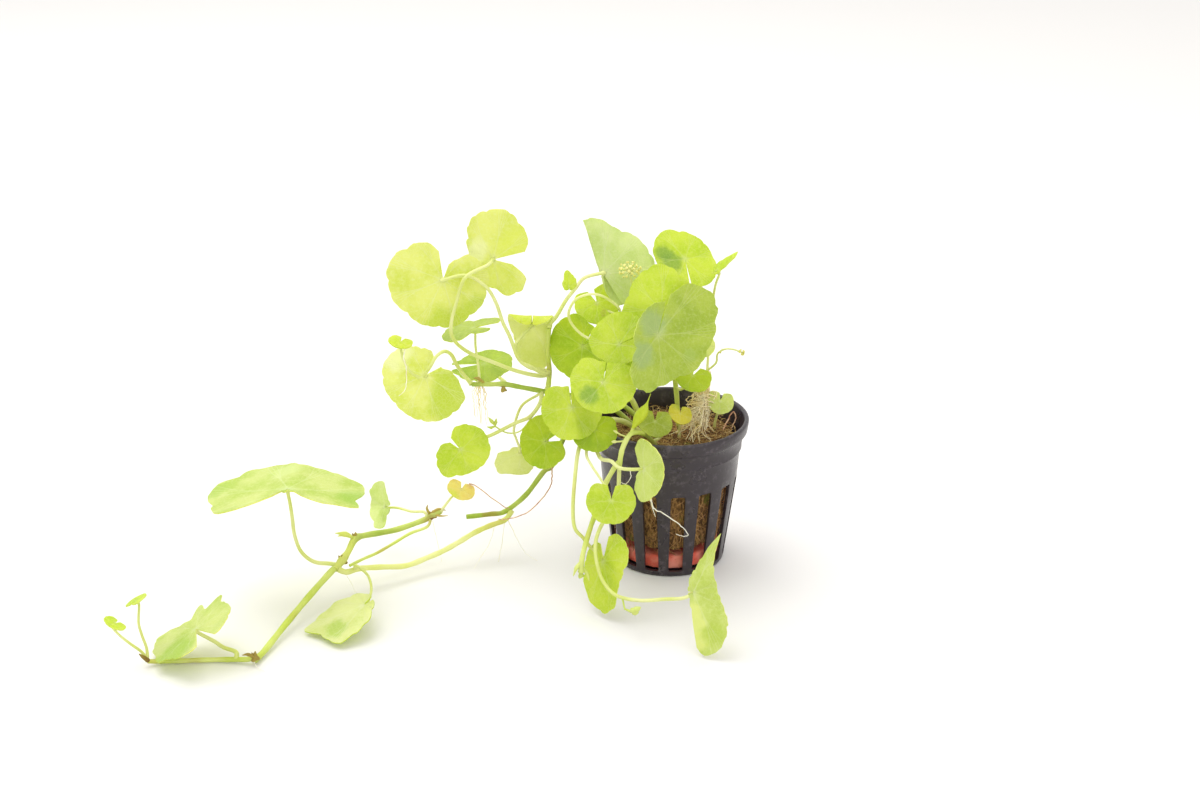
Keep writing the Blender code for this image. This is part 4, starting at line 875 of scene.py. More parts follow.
def grow_blade(name, leaf, skins, template, places, lobes):
    """A blade from the flat template: laid in its place and given thickness and both its skins."""
    pick(template)
    bpy.ops.object.duplicate()
    blade = bpy.context.object
    blade.name = name
    ways = blade_frame(leaf)
    sinus = leaf.get("sinus", SINUS_TURN)
    count = lobes * STEPS_PER_LOBE
    for vert, (number, share) in zip(blade.data.vertices, places):
        turn = sinus * (2.0 * number / count - 1.0)
        laid = blade_point(leaf, ways, turn, share, number / STEPS_PER_LOBE) * MM
        vert.co = [min(max(c, low), high) for c, low, high in zip(laid, *BLADE_ROOM)]
    blade.data.update()
    pattern = blade.data.uv_layers.new(name="blade")
    half = STEPS_PER_LOBE / 2
    for face in blade.data.polygons:
        numbers = [places[v][0] for v in face.vertices if places[v][1] > 0.01]
        lobe = int((sum(numbers) / len(numbers)) // STEPS_PER_LOBE)
        for loop in face.loop_indices:
            number, share = places[blade.data.loops[loop].vertex_index]
            aside = (number - lobe * STEPS_PER_LOBE - half) / half * share if share > 0.01 else 0.0
            pattern.data[loop].uv = (aside, share)
    finish_with(blade, *skins)
    wall = blade.modifiers.new("thickness", "SOLIDIFY")
    wall.thickness = BLADE_THICKNESS * MM
    wall.offset = 0.0
    wall.material_offset = 1
    wall.material_offset_rim = 1
    apply_all(blade)
    soften(blade, 50)
    return blade


def sprig_strands(route):
    """A short side shoot: its thin stalk, then three small leaf buds that are still rolled."""
    foot, bend, bud, tip = (Vector(p) for p in route)
    strands = [([foot, bend, bud], [0.3, 0.3, 0.45])]
    for aside, up in ((0.9, 0.9), (-0.9, 0.5), (0.2, -0.9)):
        end = tip + Vector((aside, 0.0, up - 0.9))
        line = smooth_route([bud, (bud + end) / 2 + Vector((0.0, -0.5, 0.2)), end], 4)
        last = len(line) - 1
        widths = [0.25 + 0.75 * math.sin(math.pi * i / last) for i in range(last + 1)]
        strands.append((line, widths))
    return strands


def nearest_stem(foot, reach):
    """The point on the middle of a stem that is nearest to a stalk's foot, or nothing."""
    best = None
    for stem in STEMS.values():
        for point in smooth_route(stem["route"], 6):
            away = (point - foot).length
            if away < reach and (best is None or away < best[0]):
                best = (away, point)
    return best[1] if best else None


def grow_leaf(node, leaf, templates, skins, bud_skin):
    """A leaf: its blade, and its stalk let into the underside at the hub and into the stem."""
    lobes = next(number for least, number in LOBES if leaf["reach"] >= least)
    blade = grow_blade(f"{node}_blade", leaf, skins, *templates[lobes], lobes)
    hub = Vector(leaf["hub"])
    normal = blade_frame(leaf)[2]
    route = [hub - normal * STALK_SINKS_IN, hub - normal * STALK_DROP, *leaf["stalk"]]
    foot = Vector(leaf["stalk"][-1])
    anchor = nearest_stem(foot, STALK_FINDS_STEM)
    if anchor:
        route.append(anchor)
    elif foot.z < PLUG_TOP + STALK_FINDS_PLUG:
        route.append(foot + Vector((0.0, 0.3, -2.5)))
    points = smooth_route(route, 7)
    thick = SMALL_STALK if leaf.get("small") else LARGE_STALK
    last = len(points) - 1
    (wide_hub, hub_ends), (wide_foot, foot_ends) = STALK_FLARE_AT_HUB, STALK_FLARE_AT_FOOT
    radii = []
    for i in range(last + 1):
        flare = wide_hub * math.exp(-i / hub_ends) + wide_foot * math.exp(-(last - i) / foot_ends)
        radii.append(thick * (0.76 + 0.22 * i / last + flare))
    parts = [blade, draw_strands(f"{node}_stalk", [(points, radii)], 2, skins[-1])]
    if "sprig" in leaf:
        parts.append(draw_strands(f"{node}_sprig", sprig_strands(leaf["sprig"]), 2, bud_skin))
    slot = "leaf_dark" if node in DARK_LEAVES else "leaf_light"
    return settle(join(f"pennywort_{node}", *parts), slot, node)


# Points that carry a stem into its neighbour, before its first and after its last route point
STEM_JOINTS = {
    "stem_upright_left": ([(-6, -0.5, 43.6)], []),
    "stem_upright_back": ([(3.4, 3.6, 43.6)], []),
    "stem_upright_outer": ([(-40.6, 1.2, 58.2)], []),
    "stem_over_rim": ([(-8, -2.6, 43.8)], []),
    "stem_over_front": ([(-5, -10, 43.8)], []),
    "stem_front_buds": ([(-17.2, -29.8, 46.4)], []),
    "runner_upper": ([(-12, 6, 43.8)], []),
    "runner_lower": ([(-10, 11, 43.8)], []),
    "runner_pale": ([(-52.6, -0.2, 15.4)], [(-107.6, -30, 8.8)]),
    "runner_dark": ([], [(-108.4, -30.4, 8.9)]),
    "runner_thin": ([(-79.4, -5.4, 15.4)], [(-104, -28, 9.0)]),
    "runner_floor": ([(-107.2, -28.6, 9.8)], []),
    "runner_tip": ([(-126.8, -75, 2.2)], []),
}

# Small dry tips and scales on the stems: route, widths and whether they are brown
STEM_TIPS = {
    "runner_dark": [
        ([(-103.2, -20.6, 15.4), (-105.8, -22, 17.4), (-108.8, -23.8, 18.6)], [0.3, 0.95, 0.1], 0),
        ([(-103.4, -20.4, 15), (-106.4, -20.4, 16.2), (-108.4, -21.2, 16.2)], [0.25, 0.6, 0.1], 0),
        ([(-79.6, -5, 16.2), (-77, -5, 18.2), (-74.4, -5, 17.8)], [0.6, 0.5, 0.12], 1),
        ([(-78.6, -5, 16.4), (-76.2, -6.4, 16.4), (-73.6, -7, 16.8)], [0.5, 0.35, 0.1], 1),
        ([(-80, -5, 16.6), (-80.6, -6, 19), (-80.2, -6.6, 20.6)], [0.5, 0.4, 0.1], 1)],
    "runner_upper": [
        ([(-61, 0, 61.6), (-62.8, -1, 63.4), (-64.2, -1.6, 63.8)], [0.4, 0.6, 0.1], 1)],
    "runner_floor": [
        ([(-127, -75.4, 2.6), (-128.6, -76.6, 4.2), (-130.2, -77.4, 4.4)], [0.5, 0.55, 0.1], 1)],
    "runner_tip": [
        ([(-158.8, -76.2, 1.8), (-160, -77, 3.6), (-161, -77.6, 5)], [0.7, 0.6, 0.12], 1)],
    "stem_front_buds": [
        ([(-28.6, -44, 19), (-30.4, -45, 17), (-31.4, -46, 14.6)], [0.5, 0.7, 0.12], 0),
        ([(-28.6, -44, 17), (-27, -45.4, 15), (-26.4, -46.2, 13)], [0.5, 0.6, 0.12], 0)],
}


# How much a stem swells at a joint, how far from it, and how uneven it is elsewhere
JOINT_SWELLS = 0.35
JOINT_REACH = 1.8
STEM_UNEVEN = 0.05


def grow_stem(node, stem, skin, scale_skin):
    """A stem or runner: round, swollen at its joints, with the buds that sit on them."""
    before, after = STEM_JOINTS.get(node, ([], []))
    points = smooth_route([*before, *stem["route"], *after], 8)
    first, last = stem["radius"]
    count = len(points) - 1
    swellings = [Vector(p) for p, _ in stem.get("buds", [])]
    radii = []
    for i, point in enumerate(points):
        radius = first + (last - first) * i / count
        near = min([(point - s).length for s in swellings] or [9.0])
        swell = JOINT_SWELLS * math.exp(-(near / JOINT_REACH) ** 2)
        radii.append(radius * (1.0 + swell + STEM_UNEVEN * math.sin(i * 0.9)))
    parts = [draw_strands(f"{node}_body", [(points, radii)], 3, skin, scale_skin)]
    for number, (route, widths, brown) in enumerate(STEM_TIPS.get(node, [])):
        line = smooth_route(route, 5)
        span = [widths[0] + (widths[1] - widths[0]) * i / 5 for i in range(5)]
        span += [widths[1] + (widths[2] - widths[1]) * i / 5 for i in range(6)]
        tip_skin = scale_skin if brown else skin
        parts.append(draw_strands(f"{node}_tip_{number}", [(line, span)], 2, tip_skin))
    for number, (place, radius) in enumerate(stem.get("buds", [])):
        parts += bud_scales(f"{node}_bud_{number}", place, radius, scale_skin)
    return settle(join(f"pennywort_{node}", *parts), "stem", node)


SCALES_PER_BUD = 3


def bud_scales(name, place, radius, skin):
    """A joint's bud: thin pointed scales that clasp it."""
    scales = []
    for number in range(SCALES_PER_BUD):
        bpy.ops.object.select_all(action="DESELECT")
        bpy.ops.mesh.primitive_uv_sphere_add(segments=14, ring_count=10, radius=radius * MM)
        scale = bpy.context.object
        scale.name = f"{name}_{number}"
        turn = math.radians(125.0 * number + 30.0)
        for vert in scale.data.vertices:
            x, y, z = vert.co / (radius * MM)
            narrow = 1.0 - 0.55 * smooth_step((z + 0.2) / 1.2)
            vert.co = Vector((x * 0.62 * narrow, y * 0.42 * narrow + 0.25 * z * z, z * 0.95))
        lean = math.radians(24 + 9 * number)
        spin = Matrix.Rotation(turn, 4, "Z") @ Matrix.Rotation(lean, 4, "X")
        centre = Matrix.Translation(Vector(place) * MM)
        scale.data.transform(centre @ spin @ Matrix.Scale(radius * MM, 4))
        pick(scale)
        bpy.ops.object.shade_smooth()
        scales.append(finish_with(scale, skin))
    return scales


# The cup's section from its base up the outer side, over the lip and down inside
CUP_SECTION = [
    (17.6, 0.0), (18.3, 0.12), (18.68, 0.5), (18.8, 1.0), (20.6, 14.85), (22.4, 28.7),
    (22.75, 33.2), (23.1, 37.8), (23.45, 39.9), (23.78, 40.1), (23.8, 40.4), (23.68, 40.7),
    (24.35, 44.9), (24.6, 45.3), (25.2, 45.6), (25.55, 46.0), (25.7, 46.8), (25.9, 48.3),
    (26.0, 49.3), (25.86, 49.72), (25.6, 49.94), (25.2, 50.0), (24.8, 49.93), (24.5, 49.7),
    (24.3, 49.1),
    (23.6, 46.6), (23.3, 45.4), (22.0, 37.8), (21.3, 28.7), (19.5, 14.85), (17.95, 2.4),
    (17.75, 1.7), (17.3, 1.3)]


def turn_cup(skin):
    """The net pot: drawn up ring by ring, with its slots cut and every edge eased."""
    bpy.ops.object.select_all(action="DESELECT")
    radius, height = CUP_SECTION[0]
    bpy.ops.mesh.primitive_circle_add(vertices=POT_STEPS, radius=radius * MM, fill_type="NGON")
    cup = bpy.context.object
    edit(cup)
    for wide, high in CUP_SECTION[1:]:
        bpy.ops.mesh.extrude_region_move()
        bpy.ops.transform.resize(value=(wide / radius, wide / radius, 1.0))
        bpy.ops.transform.translate(value=(0.0, 0.0, (high - height) * MM))
        radius, height = wide, high
    bpy.ops.mesh.select_all(action="SELECT")
    bpy.ops.mesh.remove_doubles(threshold=0.000002)
    bpy.ops.mesh.normals_make_consistent(inside=False)
    let_go()
    cutters = []
    for number in range(SLOT_COUNT):
        turn = SLOT_FIRST - 90.0 + number * 360.0 / SLOT_COUNT
        size = (12.0, SLOT_WIDTH, SLOT_TOP - SLOT_BOTTOM)
        cutters.append(slot_block(size, (21.0, 0.0, (SLOT_TOP + SLOT_BOTTOM) / 2), turn))
    for number in range(BASE_SLOT_COUNT):
        turn = number * 360.0 / BASE_SLOT_COUNT
        cutters.append(slot_block((7.5, 3.0, 4.0), (10.75, 0.0, 0.0), turn))
    block = join("slots", *cutters)
    cut = cup.modifiers.new("slots", "BOOLEAN")
    cut.operation = "DIFFERENCE"
    cut.solver = "EXACT"
    cut.object = block
    apply_all(cup)
    bpy.data.objects.remove(block, do_unlink=True)
    ease = cup.modifiers.new("eased edges", "BEVEL")
    ease.width = 0.12 * MM
    ease.segments = 2
    ease.limit_method = "ANGLE"
    ease.angle_limit = math.radians(48)
    apply_all(cup)
    soften(cup, 40)
    finish_with(cup, skin)
    return settle(join("pennywort_net_pot", cup), "pot_plastic", "net_pot")


def slot_block(size, place, turn):
    """A block with eased corners, for cutting one slot."""
    bpy.ops.object.select_all(action="DESELECT")
    bpy.ops.mesh.primitive_cube_add(size=1.0)
    block = bpy.context.object
    block.data.transform(Matrix.Diagonal((*[s * MM for s in size], 1.0)))
    ease = block.modifiers.new("corners", "BEVEL")
    ease.width = 0.7 * MM
    ease.segments = 3
    apply_all(block)
    matrix = (Matrix.Rotation(math.radians(turn), 4, "Z")
              @ Matrix.Translation(Vector(place) * MM))
    block.data.transform(matrix)
    return block


def roughen(piece, cell, strength, grain):
    """Rebuild a piece in fine even cells and press a matted surface into it, inwards only."""
    remesh = piece.modifiers.new("cells", "REMESH")
    remesh.mode = "VOXEL"
    remesh.voxel_size = cell * MM
    for size, part in grain:
        texture = bpy.data.textures.new(f"{piece.name}_{size}", "CLOUDS")
        texture.noise_scale = size * MM
        texture.noise_depth = 3
        press = piece.modifiers.new("press", "DISPLACE")
        press.texture = texture
        press.texture_coords = "LOCAL"
        press.strength = strength * part * MM
        press.mid_level = 1.0
    apply_all(piece)
    pick(piece)
    bpy.ops.object.shade_smooth()


# Loose fibres on the rockwool: how many of each colour, how far out they start and stop on its
# top, how high they start and rise there, and in how many steps they wander
GOLDEN_FIBRES = 300
BROWN_FIBRES = 260
SIDE_FIBRES = 560
FIBRES_REACH = 21.0
FIBRES_STOP = 21.6
FIBRES_HEIGHT = PLUG_TOP - 1.1
FIBRES_RISE = 0.75
FIBRE_STEPS = 6


def pack_rockwool(skin, golden, brown, tan):
    """The rockwool plug: a matted block with loose fibres lying over it and down its side."""
    low = POT_FLOOR + DISC_HEIGHT + 2 * GAP
    depth = PLUG_TOP - low
    bpy.ops.object.select_all(action="DESELECT")
    bpy.ops.mesh.primitive_cone_add(vertices=96, radius1=PLUG_FOOT_RADIUS * MM,
                                    radius2=PLUG_TOP_RADIUS * MM, depth=depth * MM)
    plug = bpy.context.object
    plug.data.transform(Matrix.Translation((0.0, 0.0, (low + depth / 2) * MM)))
    edit(plug)
    bpy.ops.mesh.bevel(offset=1.6 * MM, segments=3)
    let_go()
    roughen(plug, 0.7, 2.2, ((4.0, 1.0), (1.2, 0.45)))
    finish_with(plug, skin)
    parts = [plug]
    for name, fibre_skin, count in (("golden_fibres", golden, GOLDEN_FIBRES),
                                    ("brown_fibres", brown, BROWN_FIBRES)):
        strands = []
        for _ in range(count):
            turn = random.uniform(0.0, math.tau)
            out = FIBRES_REACH * math.sqrt(random.random())
            start = Vector((out * math.cos(turn), out * math.sin(turn), FIBRES_HEIGHT))
            strands.append(wisp(start, random.uniform(0.0, math.tau), random.uniform(3.0, 8.0)))
        parts.append(draw_strands(name, strands, 0, fibre_skin))
    strands = []
    for _ in range(SIDE_FIBRES):
        turn = random.uniform(0.0, math.tau)
        height = random.uniform(low + 1.0, SLOT_TOP + 2.0)
        share = (height - low) / depth
        out = PLUG_FOOT_RADIUS + (PLUG_TOP_RADIUS - PLUG_FOOT_RADIUS) * share - 0.25
        strands.append(side_wisp(turn, out, height, random.uniform(3.0, 7.0)))
    parts.append(draw_strands("side_fibres", strands, 0, tan))
    return settle(join("pennywort_rockwool_plug", *parts), "rockwool", "rockwool_plug")


def wisp(start, heading, length):
    """One loose fibre that wanders over the plug's top."""
    points = [start.copy()]
    radius = random.uniform(0.06, 0.12)
    for step in range(FIBRE_STEPS):
        heading += random.uniform(-0.6, 0.6)
        ahead = Vector((math.cos(heading), math.sin(heading), 0.0)) * (length / FIBRE_STEPS)
        ahead.z = random.uniform(-0.3, 0.9) * FIBRES_RISE * (1.0 - step / FIBRE_STEPS)
        point = points[-1] + ahead
        inward = min(FIBRES_STOP / math.hypot(point.x, point.y), 1.0)
        point.x *= inward
        point.y *= inward
        points.append(point)
    return points, [radius] * len(points)


def side_wisp(turn, out, height, length):
    """One fibre that lies on the plug's side."""
    points = []
    lean = random.uniform(-1.0, 1.0)
    for step in range(5):
        part = step / 4 - 0.5
        angle = turn + lean * part * length / out + random.uniform(-0.012, 0.012)
        stand = out + random.uniform(0.0, 0.45) + 0.1 * part * length
        points.append(Vector((stand * math.cos(angle), stand * math.sin(angle),
                              height + part * length * (1.0 - 0.4 * abs(lean)))))
    return points, [random.uniform(0.06, 0.13)] * 5


def press_clay(skin):
    """The clay disc: pressed, with a soft rim and a grainy skin."""
    low = POT_FLOOR + GAP
    bpy.ops.object.select_all(action="DESELECT")
    bpy.ops.mesh.primitive_cylinder_add(vertices=96, radius=DISC_RADIUS * MM,
                                        depth=DISC_HEIGHT * MM)
    disc = bpy.context.object
    disc.data.transform(Matrix.Translation((0.0, 0.0, (low + DISC_HEIGHT / 2) * MM)))
    edit(disc)
    bpy.ops.mesh.bevel(offset=0.8 * MM, segments=3)
    let_go()
    roughen(disc, 0.55, 0.5, ((2.5, 1.0), (0.8, 0.5)))
    finish_with(disc, skin)
    return settle(join("pennywort_clay_disc", disc), "fired_clay", "clay_disc")


def hair(points, thick=0.16, taper=0.4, wobble=0.25):
    """A root hair along a route, thinner towards its tip and never quite straight."""
    line = smooth_route(points, 5)
    last = len(line) - 1
    bent = []
    for i, point in enumerate(line):
        loose = wobble * min(i, last - i, 3) / 3
        bent.append(point + Vector([random.uniform(-loose, loose) for _ in range(3)]))
    return bent, [thick * (1.0 - (1.0 - taper) * i / last) for i in range(last + 1)]


# Hairs of the root clump that run down, those that curl, and hairs of the hanging tuft
CLUMP_HAIRS = 40
CLUMP_CURLS = 34
TUFT_HAIRS = 12


def tangle_roots(skin):
    """The root clump: fine hairs that leave the stalks together and spread over the plug."""
    core = smooth_route([(12, 1, 65), (11, 0, 58), (9.6, -2, 52), (8, -4, 46.8)], 4)
    last = len(core) - 1
    strands = []
    for number in range(CLUMP_HAIRS):
        turn = random.uniform(0.0, math.tau)
        begin = random.choice((0, 0, 2, 4, 6))
        route = []
        for i in range(begin, last + 1, 2):
            spread = 1.1 + 4.0 * (i / last) ** 1.4
            turn += random.uniform(-0.8, 0.8)
            route.append(core[i] + Vector((math.cos(turn), math.sin(turn), 0.2)) * spread
                         * random.uniform(0.4, 1.0))
        if number % 2:
            out = random.uniform(4.0, 9.0)
            route.append(Vector((8 + out * math.cos(turn), -4 + out * math.sin(turn), 45.2)))
        strands.append(hair(route, random.uniform(0.15, 0.27), 0.6, 0.35))
    for _ in range(CLUMP_CURLS):
        turn = random.uniform(0.0, math.tau)
        middle = core[random.choice((5, 6, 7, 8, 10))]
        middle = middle + Vector((random.uniform(-2.5, 1.5), -0.6, 0.0))
        wide, tall = random.uniform(1.6, 3.6), random.uniform(0.8, 2.6)
        ring = []
        for a in (0.0, 1.3, 2.6, 3.9, 5.2):
            across = wide * math.cos(turn + a)
            ring.append(middle + Vector((across, 1.6 * math.sin(turn + a), tall * math.sin(a))))
        strands.append(hair(ring, random.uniform(0.15, 0.25), 0.8, 0.3))
    clump = draw_strands("root_clump_hairs", strands, 0, skin)
    return settle(join("pennywort_root_clump", clump), "root", "root_clump")


def hang_roots(skin, green):
    """The pale tuft of roots below the end of the upper runner, with a small green shoot."""
    strands = []
    for _ in range(TUFT_HAIRS):
        aside = random.uniform(-2.6, 2.2)
        deep = random.uniform(-1.5, 2.0)
        foot = random.uniform(45.0, 54.0)
        top = Vector((-62.4 + 0.5 * aside, 0.2 * deep, 60.4))
        middle = Vector((-62.4 + aside, deep, (foot + 60.0) / 2))
        strands.append(hair([top, (top + middle) / 2 + Vector((0.4 * aside, 0, 0)), middle,
                             Vector((-62.0 + 1.1 * aside, deep, foot))],
                            random.uniform(0.1, 0.17), 0.5, 0.3))
    tuft = draw_strands("hanging_root_hairs", strands, 0, skin, green)
    shoot = draw_strands("hanging_shoot", [
        (smooth_route([(-44.6, -1, 51), (-49, -2.4, 45.6), (-53.5, -3, 45), (-57.6, -3, 47.4)], 5),
         [0.26] * 16),
        ([(-59.6, -3, 50.6), (-58.6, -3, 49.2), (-57.4, -3, 47.6)], [0.1, 0.7, 0.25]),
        ([(-57.0, -3, 50.2), (-57.2, -3, 48.8), (-57.4, -3, 47.6)], [0.1, 0.6, 0.25]),
        ([(-60.2, -3, 47.2), (-58.8, -3, 46.8), (-57.4, -3, 47.4)], [0.1, 0.55, 0.25])], 2, green)
    return settle(join("pennywort_hanging_roots", tuft, shoot), "root", "hanging_roots")


# Single hair roots that leave the stems: routes, thickness, and whether they are reddish
LOOSE_ROOTS = [
    ([(-7.6, -34, 39), (-7.3, -34, 36.3), (-6.8, -33, 33.4), (-5.4, -31, 28)], 0.24, 0),
    ([(-7.6, -34.4, 40), (-6.1, -33, 32.2), (-3.4, -32, 29.9), (0.7, -30, 26), (4.1, -28, 21.9),
      (5.2, -27, 19.5), (3.4, -28, 19.6), (1.3, -29, 20.9)], 0.22, 0),
    ([(-16.8, -30.4, 44.8), (-14.2, -31, 44.6), (-13.3, -31, 42.2), (-14.8, -31, 39.4),
      (-16.8, -30.6, 40.1)], 0.2, 0),
    ([(-39, 1.6, 33), (-39, -1.4, 30.7), (-39, -3, 28.7), (-39.4, -4, 26.3), (-42.3, -7, 22.9),
      (-47.5, -9, 18.7), (-54.2, -6, 15), (-57.2, -3, 13.6)], 0.24, 1),
    ([(-66.4, -5, 27.6), (-64.1, -5, 26.7), (-59.5, -6, 23.2), (-54.9, -4, 18.6),
      (-53.4, -0.6, 16.2)], 0.2, 1),
    ([(-84.4, -16, 79.6), (-84.7, -18, 76.7), (-84.1, -19, 74.7), (-84, -19.5, 70.2),
      (-84.6, -20, 67), (-86.6, -20, 64.9)], 0.2, 0),
    ([(17.6, 0, 44.8), (19.4, 4, 46.7), (21.1, 5, 49.2), (22, 4, 47.4), (20.6, 2, 44.6)], 0.3, 1),
    ([(-55, -2, 13), (-55.4, -6, 9), (-56.4, -8, 4), (-57, -9, 0.6)], 0.14, 0),
    ([(-58, -3, 12.2), (-60, -8, 7), (-63, -11, 3), (-65, -14, 0.5)], 0.12, 0),
    ([(-54, -1.6, 12.6), (-51, -4, 7), (-48, -6, 2.4), (-44, -8, 0.5)], 0.12, 0),
    ([(-105, -29.4, 6.4), (-103, -31, 3.4), (-101.6, -33, 1), (-99, -35, 0.4)], 0.12, 0),
    ([(-127, -76, 1.4), (-126, -78, 0.8), (-123, -80, 0.4)], 0.12, 0),
    ([(-79, -5, 14.6), (-78, -6, 9), (-76.6, -8, 3.6), (-76, -9, 0.5)], 0.1, 0),
]


def lay_loose_roots(pale, red):
    """The single hair roots, each held at its stem."""
    strands = [hair(route, thick, 0.5, 0.12) for route, thick, is_red in LOOSE_ROOTS if not is_red]
    whites = draw_strands("white_hairs", strands, 1, pale, red)
    strands = [hair(route, thick, 0.6, 0.12) for route, thick, is_red in LOOSE_ROOTS if is_red]
    reds = draw_strands("red_hairs", strands, 1, red)
    return settle(join("pennywort_loose_roots", whites, reds), "root")


def floret(name, place, facing, size, skin):
    """A tiny flower: five blunt petals about a rounded middle, made as one small rosette."""
    bpy.ops.object.select_all(action="DESELECT")
    bpy.ops.mesh.primitive_uv_sphere_add(segments=10, ring_count=5, radius=1.0)
    rosette = bpy.context.object
    rosette.name = name
    for vert in rosette.data.vertices:
        x, y, z = vert.co
        away = math.hypot(x, y)
        turn = math.atan2(y, x)
        petal = 1.0 + 0.45 * math.cos(5.0 * turn) * smooth_step(away)
        vert.co = Vector((x * petal, y * petal, 0.55 * z + 0.3 * away * away))
    way = Vector(facing).to_track_quat("Z", "Y").to_matrix().to_4x4()
    centre = Matrix.Translation(Vector(place) * MM)
    rosette.data.transform(centre @ way @ Matrix.Scale(size * MM, 4))
    pick(rosette)
    bpy.ops.object.shade_smooth()
    return finish_with(rosette, skin)


# How many flowers and buds there are, and the turn in radians from one to the next
FLORETS = 34
BUDS = 9
GOLDEN_TURN = 2.39996


def bloom_head(stalk_skin, petal_skin):
    """The flower head: an umbel of short rays, each with a tiny pale flower or bud."""
    head = Vector((-13.4, 2.2, 99.2))
    route = smooth_route([head, (-12.8, 1, 95.5), (-10, -1, 90), (-6.4, 2, 84.6), (-4, 5.4, 81)],
                         6)
    strands = [(route, [0.42] * len(route))]
    heads = []
    for number in range(FLORETS):
        lift = 1.0 - 1.75 * (number + 0.5) / FLORETS
        turn = number * GOLDEN_TURN
        way = Vector((math.cos(turn) * math.sqrt(1 - lift * lift),
                      math.sin(turn) * math.sqrt(1 - lift * lift), lift * 0.72 + 0.12))
        length = random.uniform(2.4, 4.0)
        tip = head + way * length
        middle = head + way * length * 0.55 + Vector((0, 0, 0.15))
        strands.append(([head, middle, tip], [0.16, 0.13, 0.15]))
        heads.append(floret(f"floret_{number}", tip, way, random.uniform(0.4, 0.62), petal_skin))
    rays = draw_strands("flower_rays", strands, 1, stalk_skin, petal_skin)
    return settle(join("pennywort_flower_head", rays, *heads), "leaf_light", "flower_head")


def bloom_buds(stalk_skin, petal_skin):
    """The young flower stalk at the right, with a few buds at its joint and its tip."""
    route = smooth_route([(12.4, 5, 64), (15, 4, 67), (15.4, 3, 70.6), (18, 2, 72.6),
                          (21, 1, 72.6), (22.6, 0.2, 72)], 5)
    strands = [(route, [0.4 - 0.16 * i / (len(route) - 1) for i in range(len(route))])]
    buds = []
    for number in range(BUDS):
        centre, size = ((23.0, 0.0, 72.0), 1.05) if number < 6 else ((16.4, 2.7, 71.6), 0.8)
        turn = number * GOLDEN_TURN
        way = Vector((math.cos(turn) * 0.7, math.sin(turn) * 0.7, 0.8 * math.sin(number * 1.7)))
        tip = Vector(centre) + way * size * 0.8
        strands.append(([Vector(centre), tip], [0.14, 0.14]))
        buds.append(floret(f"bud_{number}", tip, way, 0.5 * size, petal_skin))
    stalk = draw_strands("bud_stalk", strands, 1, stalk_skin, petal_skin)
    return settle(join("pennywort_flower_buds", stalk, *buds), "leaf_light", "flower_buds")


def roll_shoot(skin, stalk_skin):
    """The young shoot: a leaf still rolled round itself, with a long tip, on its stalk."""
    core = smooth_route([(-12.6, -22, 54.6), (-11, -21, 57), (-9.4, -20.4, 59.4),
                         (-8.2, -19.6, 62), (-7, -18.6, 65.2)], 6)
    last = len(core) - 1
    wide = []
    for i in range(last + 1):
        belly = 0.6 + 1.6 * math.sin(math.pi * min(i / last * 1.25, 1.0)) ** 1.4
        wide.append(max(belly - 0.5 * smooth_step(2.0 * i / last - 1.0), 0.12))
    roll = draw_strands("shoot_roll", [(core, wide)], 5, skin, stalk_skin)
    for vert in roll.data.vertices:
        place = vert.co / MM
        near = min(core, key=lambda c: (c - place).length)
        away = place - near
        turn = math.atan2(away.z + away.y, away.x)
        crease = 0.22 * math.exp(-((math.sin(turn * 0.5 + 0.4) / 0.25) ** 2))
        vert.co = (near + away * (1.0 - crease + 0.05 * math.cos(4.0 * turn))) * MM
    strands = [(smooth_route([(-12.4, -21.8, 55), (-13.4, -22.6, 53), (-14.8, -25, 51.2),
                              (-15.8, -27.4, 49.6)], 5), [0.55] * 16),
               (smooth_route([(-14.4, -24.2, 51.6), (-16.6, -24, 51.0), (-19.4, -23.8, 50.8)], 5),
                [0.3] * 8 + [0.55, 0.5, 0.15]),
               (smooth_route([(-14.0, -23.6, 52.2), (-16.4, -23.2, 53.0), (-18.8, -23, 54.4)], 5),
                [0.25] * 8 + [0.45, 0.4, 0.12])]
    stalk = draw_strands("shoot_stalk", strands, 2, stalk_skin)
    return settle(join("pennywort_young_shoot", roll, stalk), "leaf_light", "young_shoot")


def set_studio():
    """A white sweep under broad soft light, and a camera at the height of a seated viewer."""
    bpy.ops.object.select_all(action="DESELECT")
    bpy.ops.mesh.primitive_plane_add(size=8.0)
    floor = bpy.context.object
    floor.name = "studio_floor"
    # Cast acrylic sheet, satin: even and bright, with no pattern of its own
    material, tree, _ = new_material("white_acrylic_sheet")
    lay_surface(tree, from_hex("#E6E4E2"), 0.55, ior=1.49)
    finish_with(floor, material)
    world = bpy.data.worlds.new("studio_air")
    bpy.context.scene.world = world
    world.use_nodes = True
    back = world.node_tree.nodes["Background"]
    back.inputs["Color"].default_value = from_hex("#FFFEFC")
    back.inputs["Strength"].default_value = SKY_STRENGTH
    for name, place, aim, size, power in STUDIO_LIGHTS:
        lamp = bpy.data.lights.new(name, "AREA")
        lamp.shape = "RECTANGLE"
        lamp.size, lamp.size_y = size
        lamp.energy = power
        holder = bpy.data.objects.new(name, lamp)
        bpy.context.scene.collection.objects.link(holder)
        holder.location = place
        holder.rotation_euler = (Vector(aim) - Vector(place)).to_track_quat("-Z", "Y").to_euler()
    camera = bpy.data.cameras.new("viewer")
    camera.lens = 55.0
    camera.sensor_width = 36.0
    camera.clip_start = 0.01
    camera.clip_end = 50.0
    viewer = bpy.data.objects.new("viewer", camera)
    bpy.context.scene.collection.objects.link(viewer)
    viewer.location = Vector((-23.04, -557.2, 281.7)) * MM
    viewer.rotation_euler = (math.radians(90.0 - 22.1), 0.0, 0.0)
    bpy.context.scene.camera = viewer
    bpy.context.scene.view_settings.view_transform = "Standard"


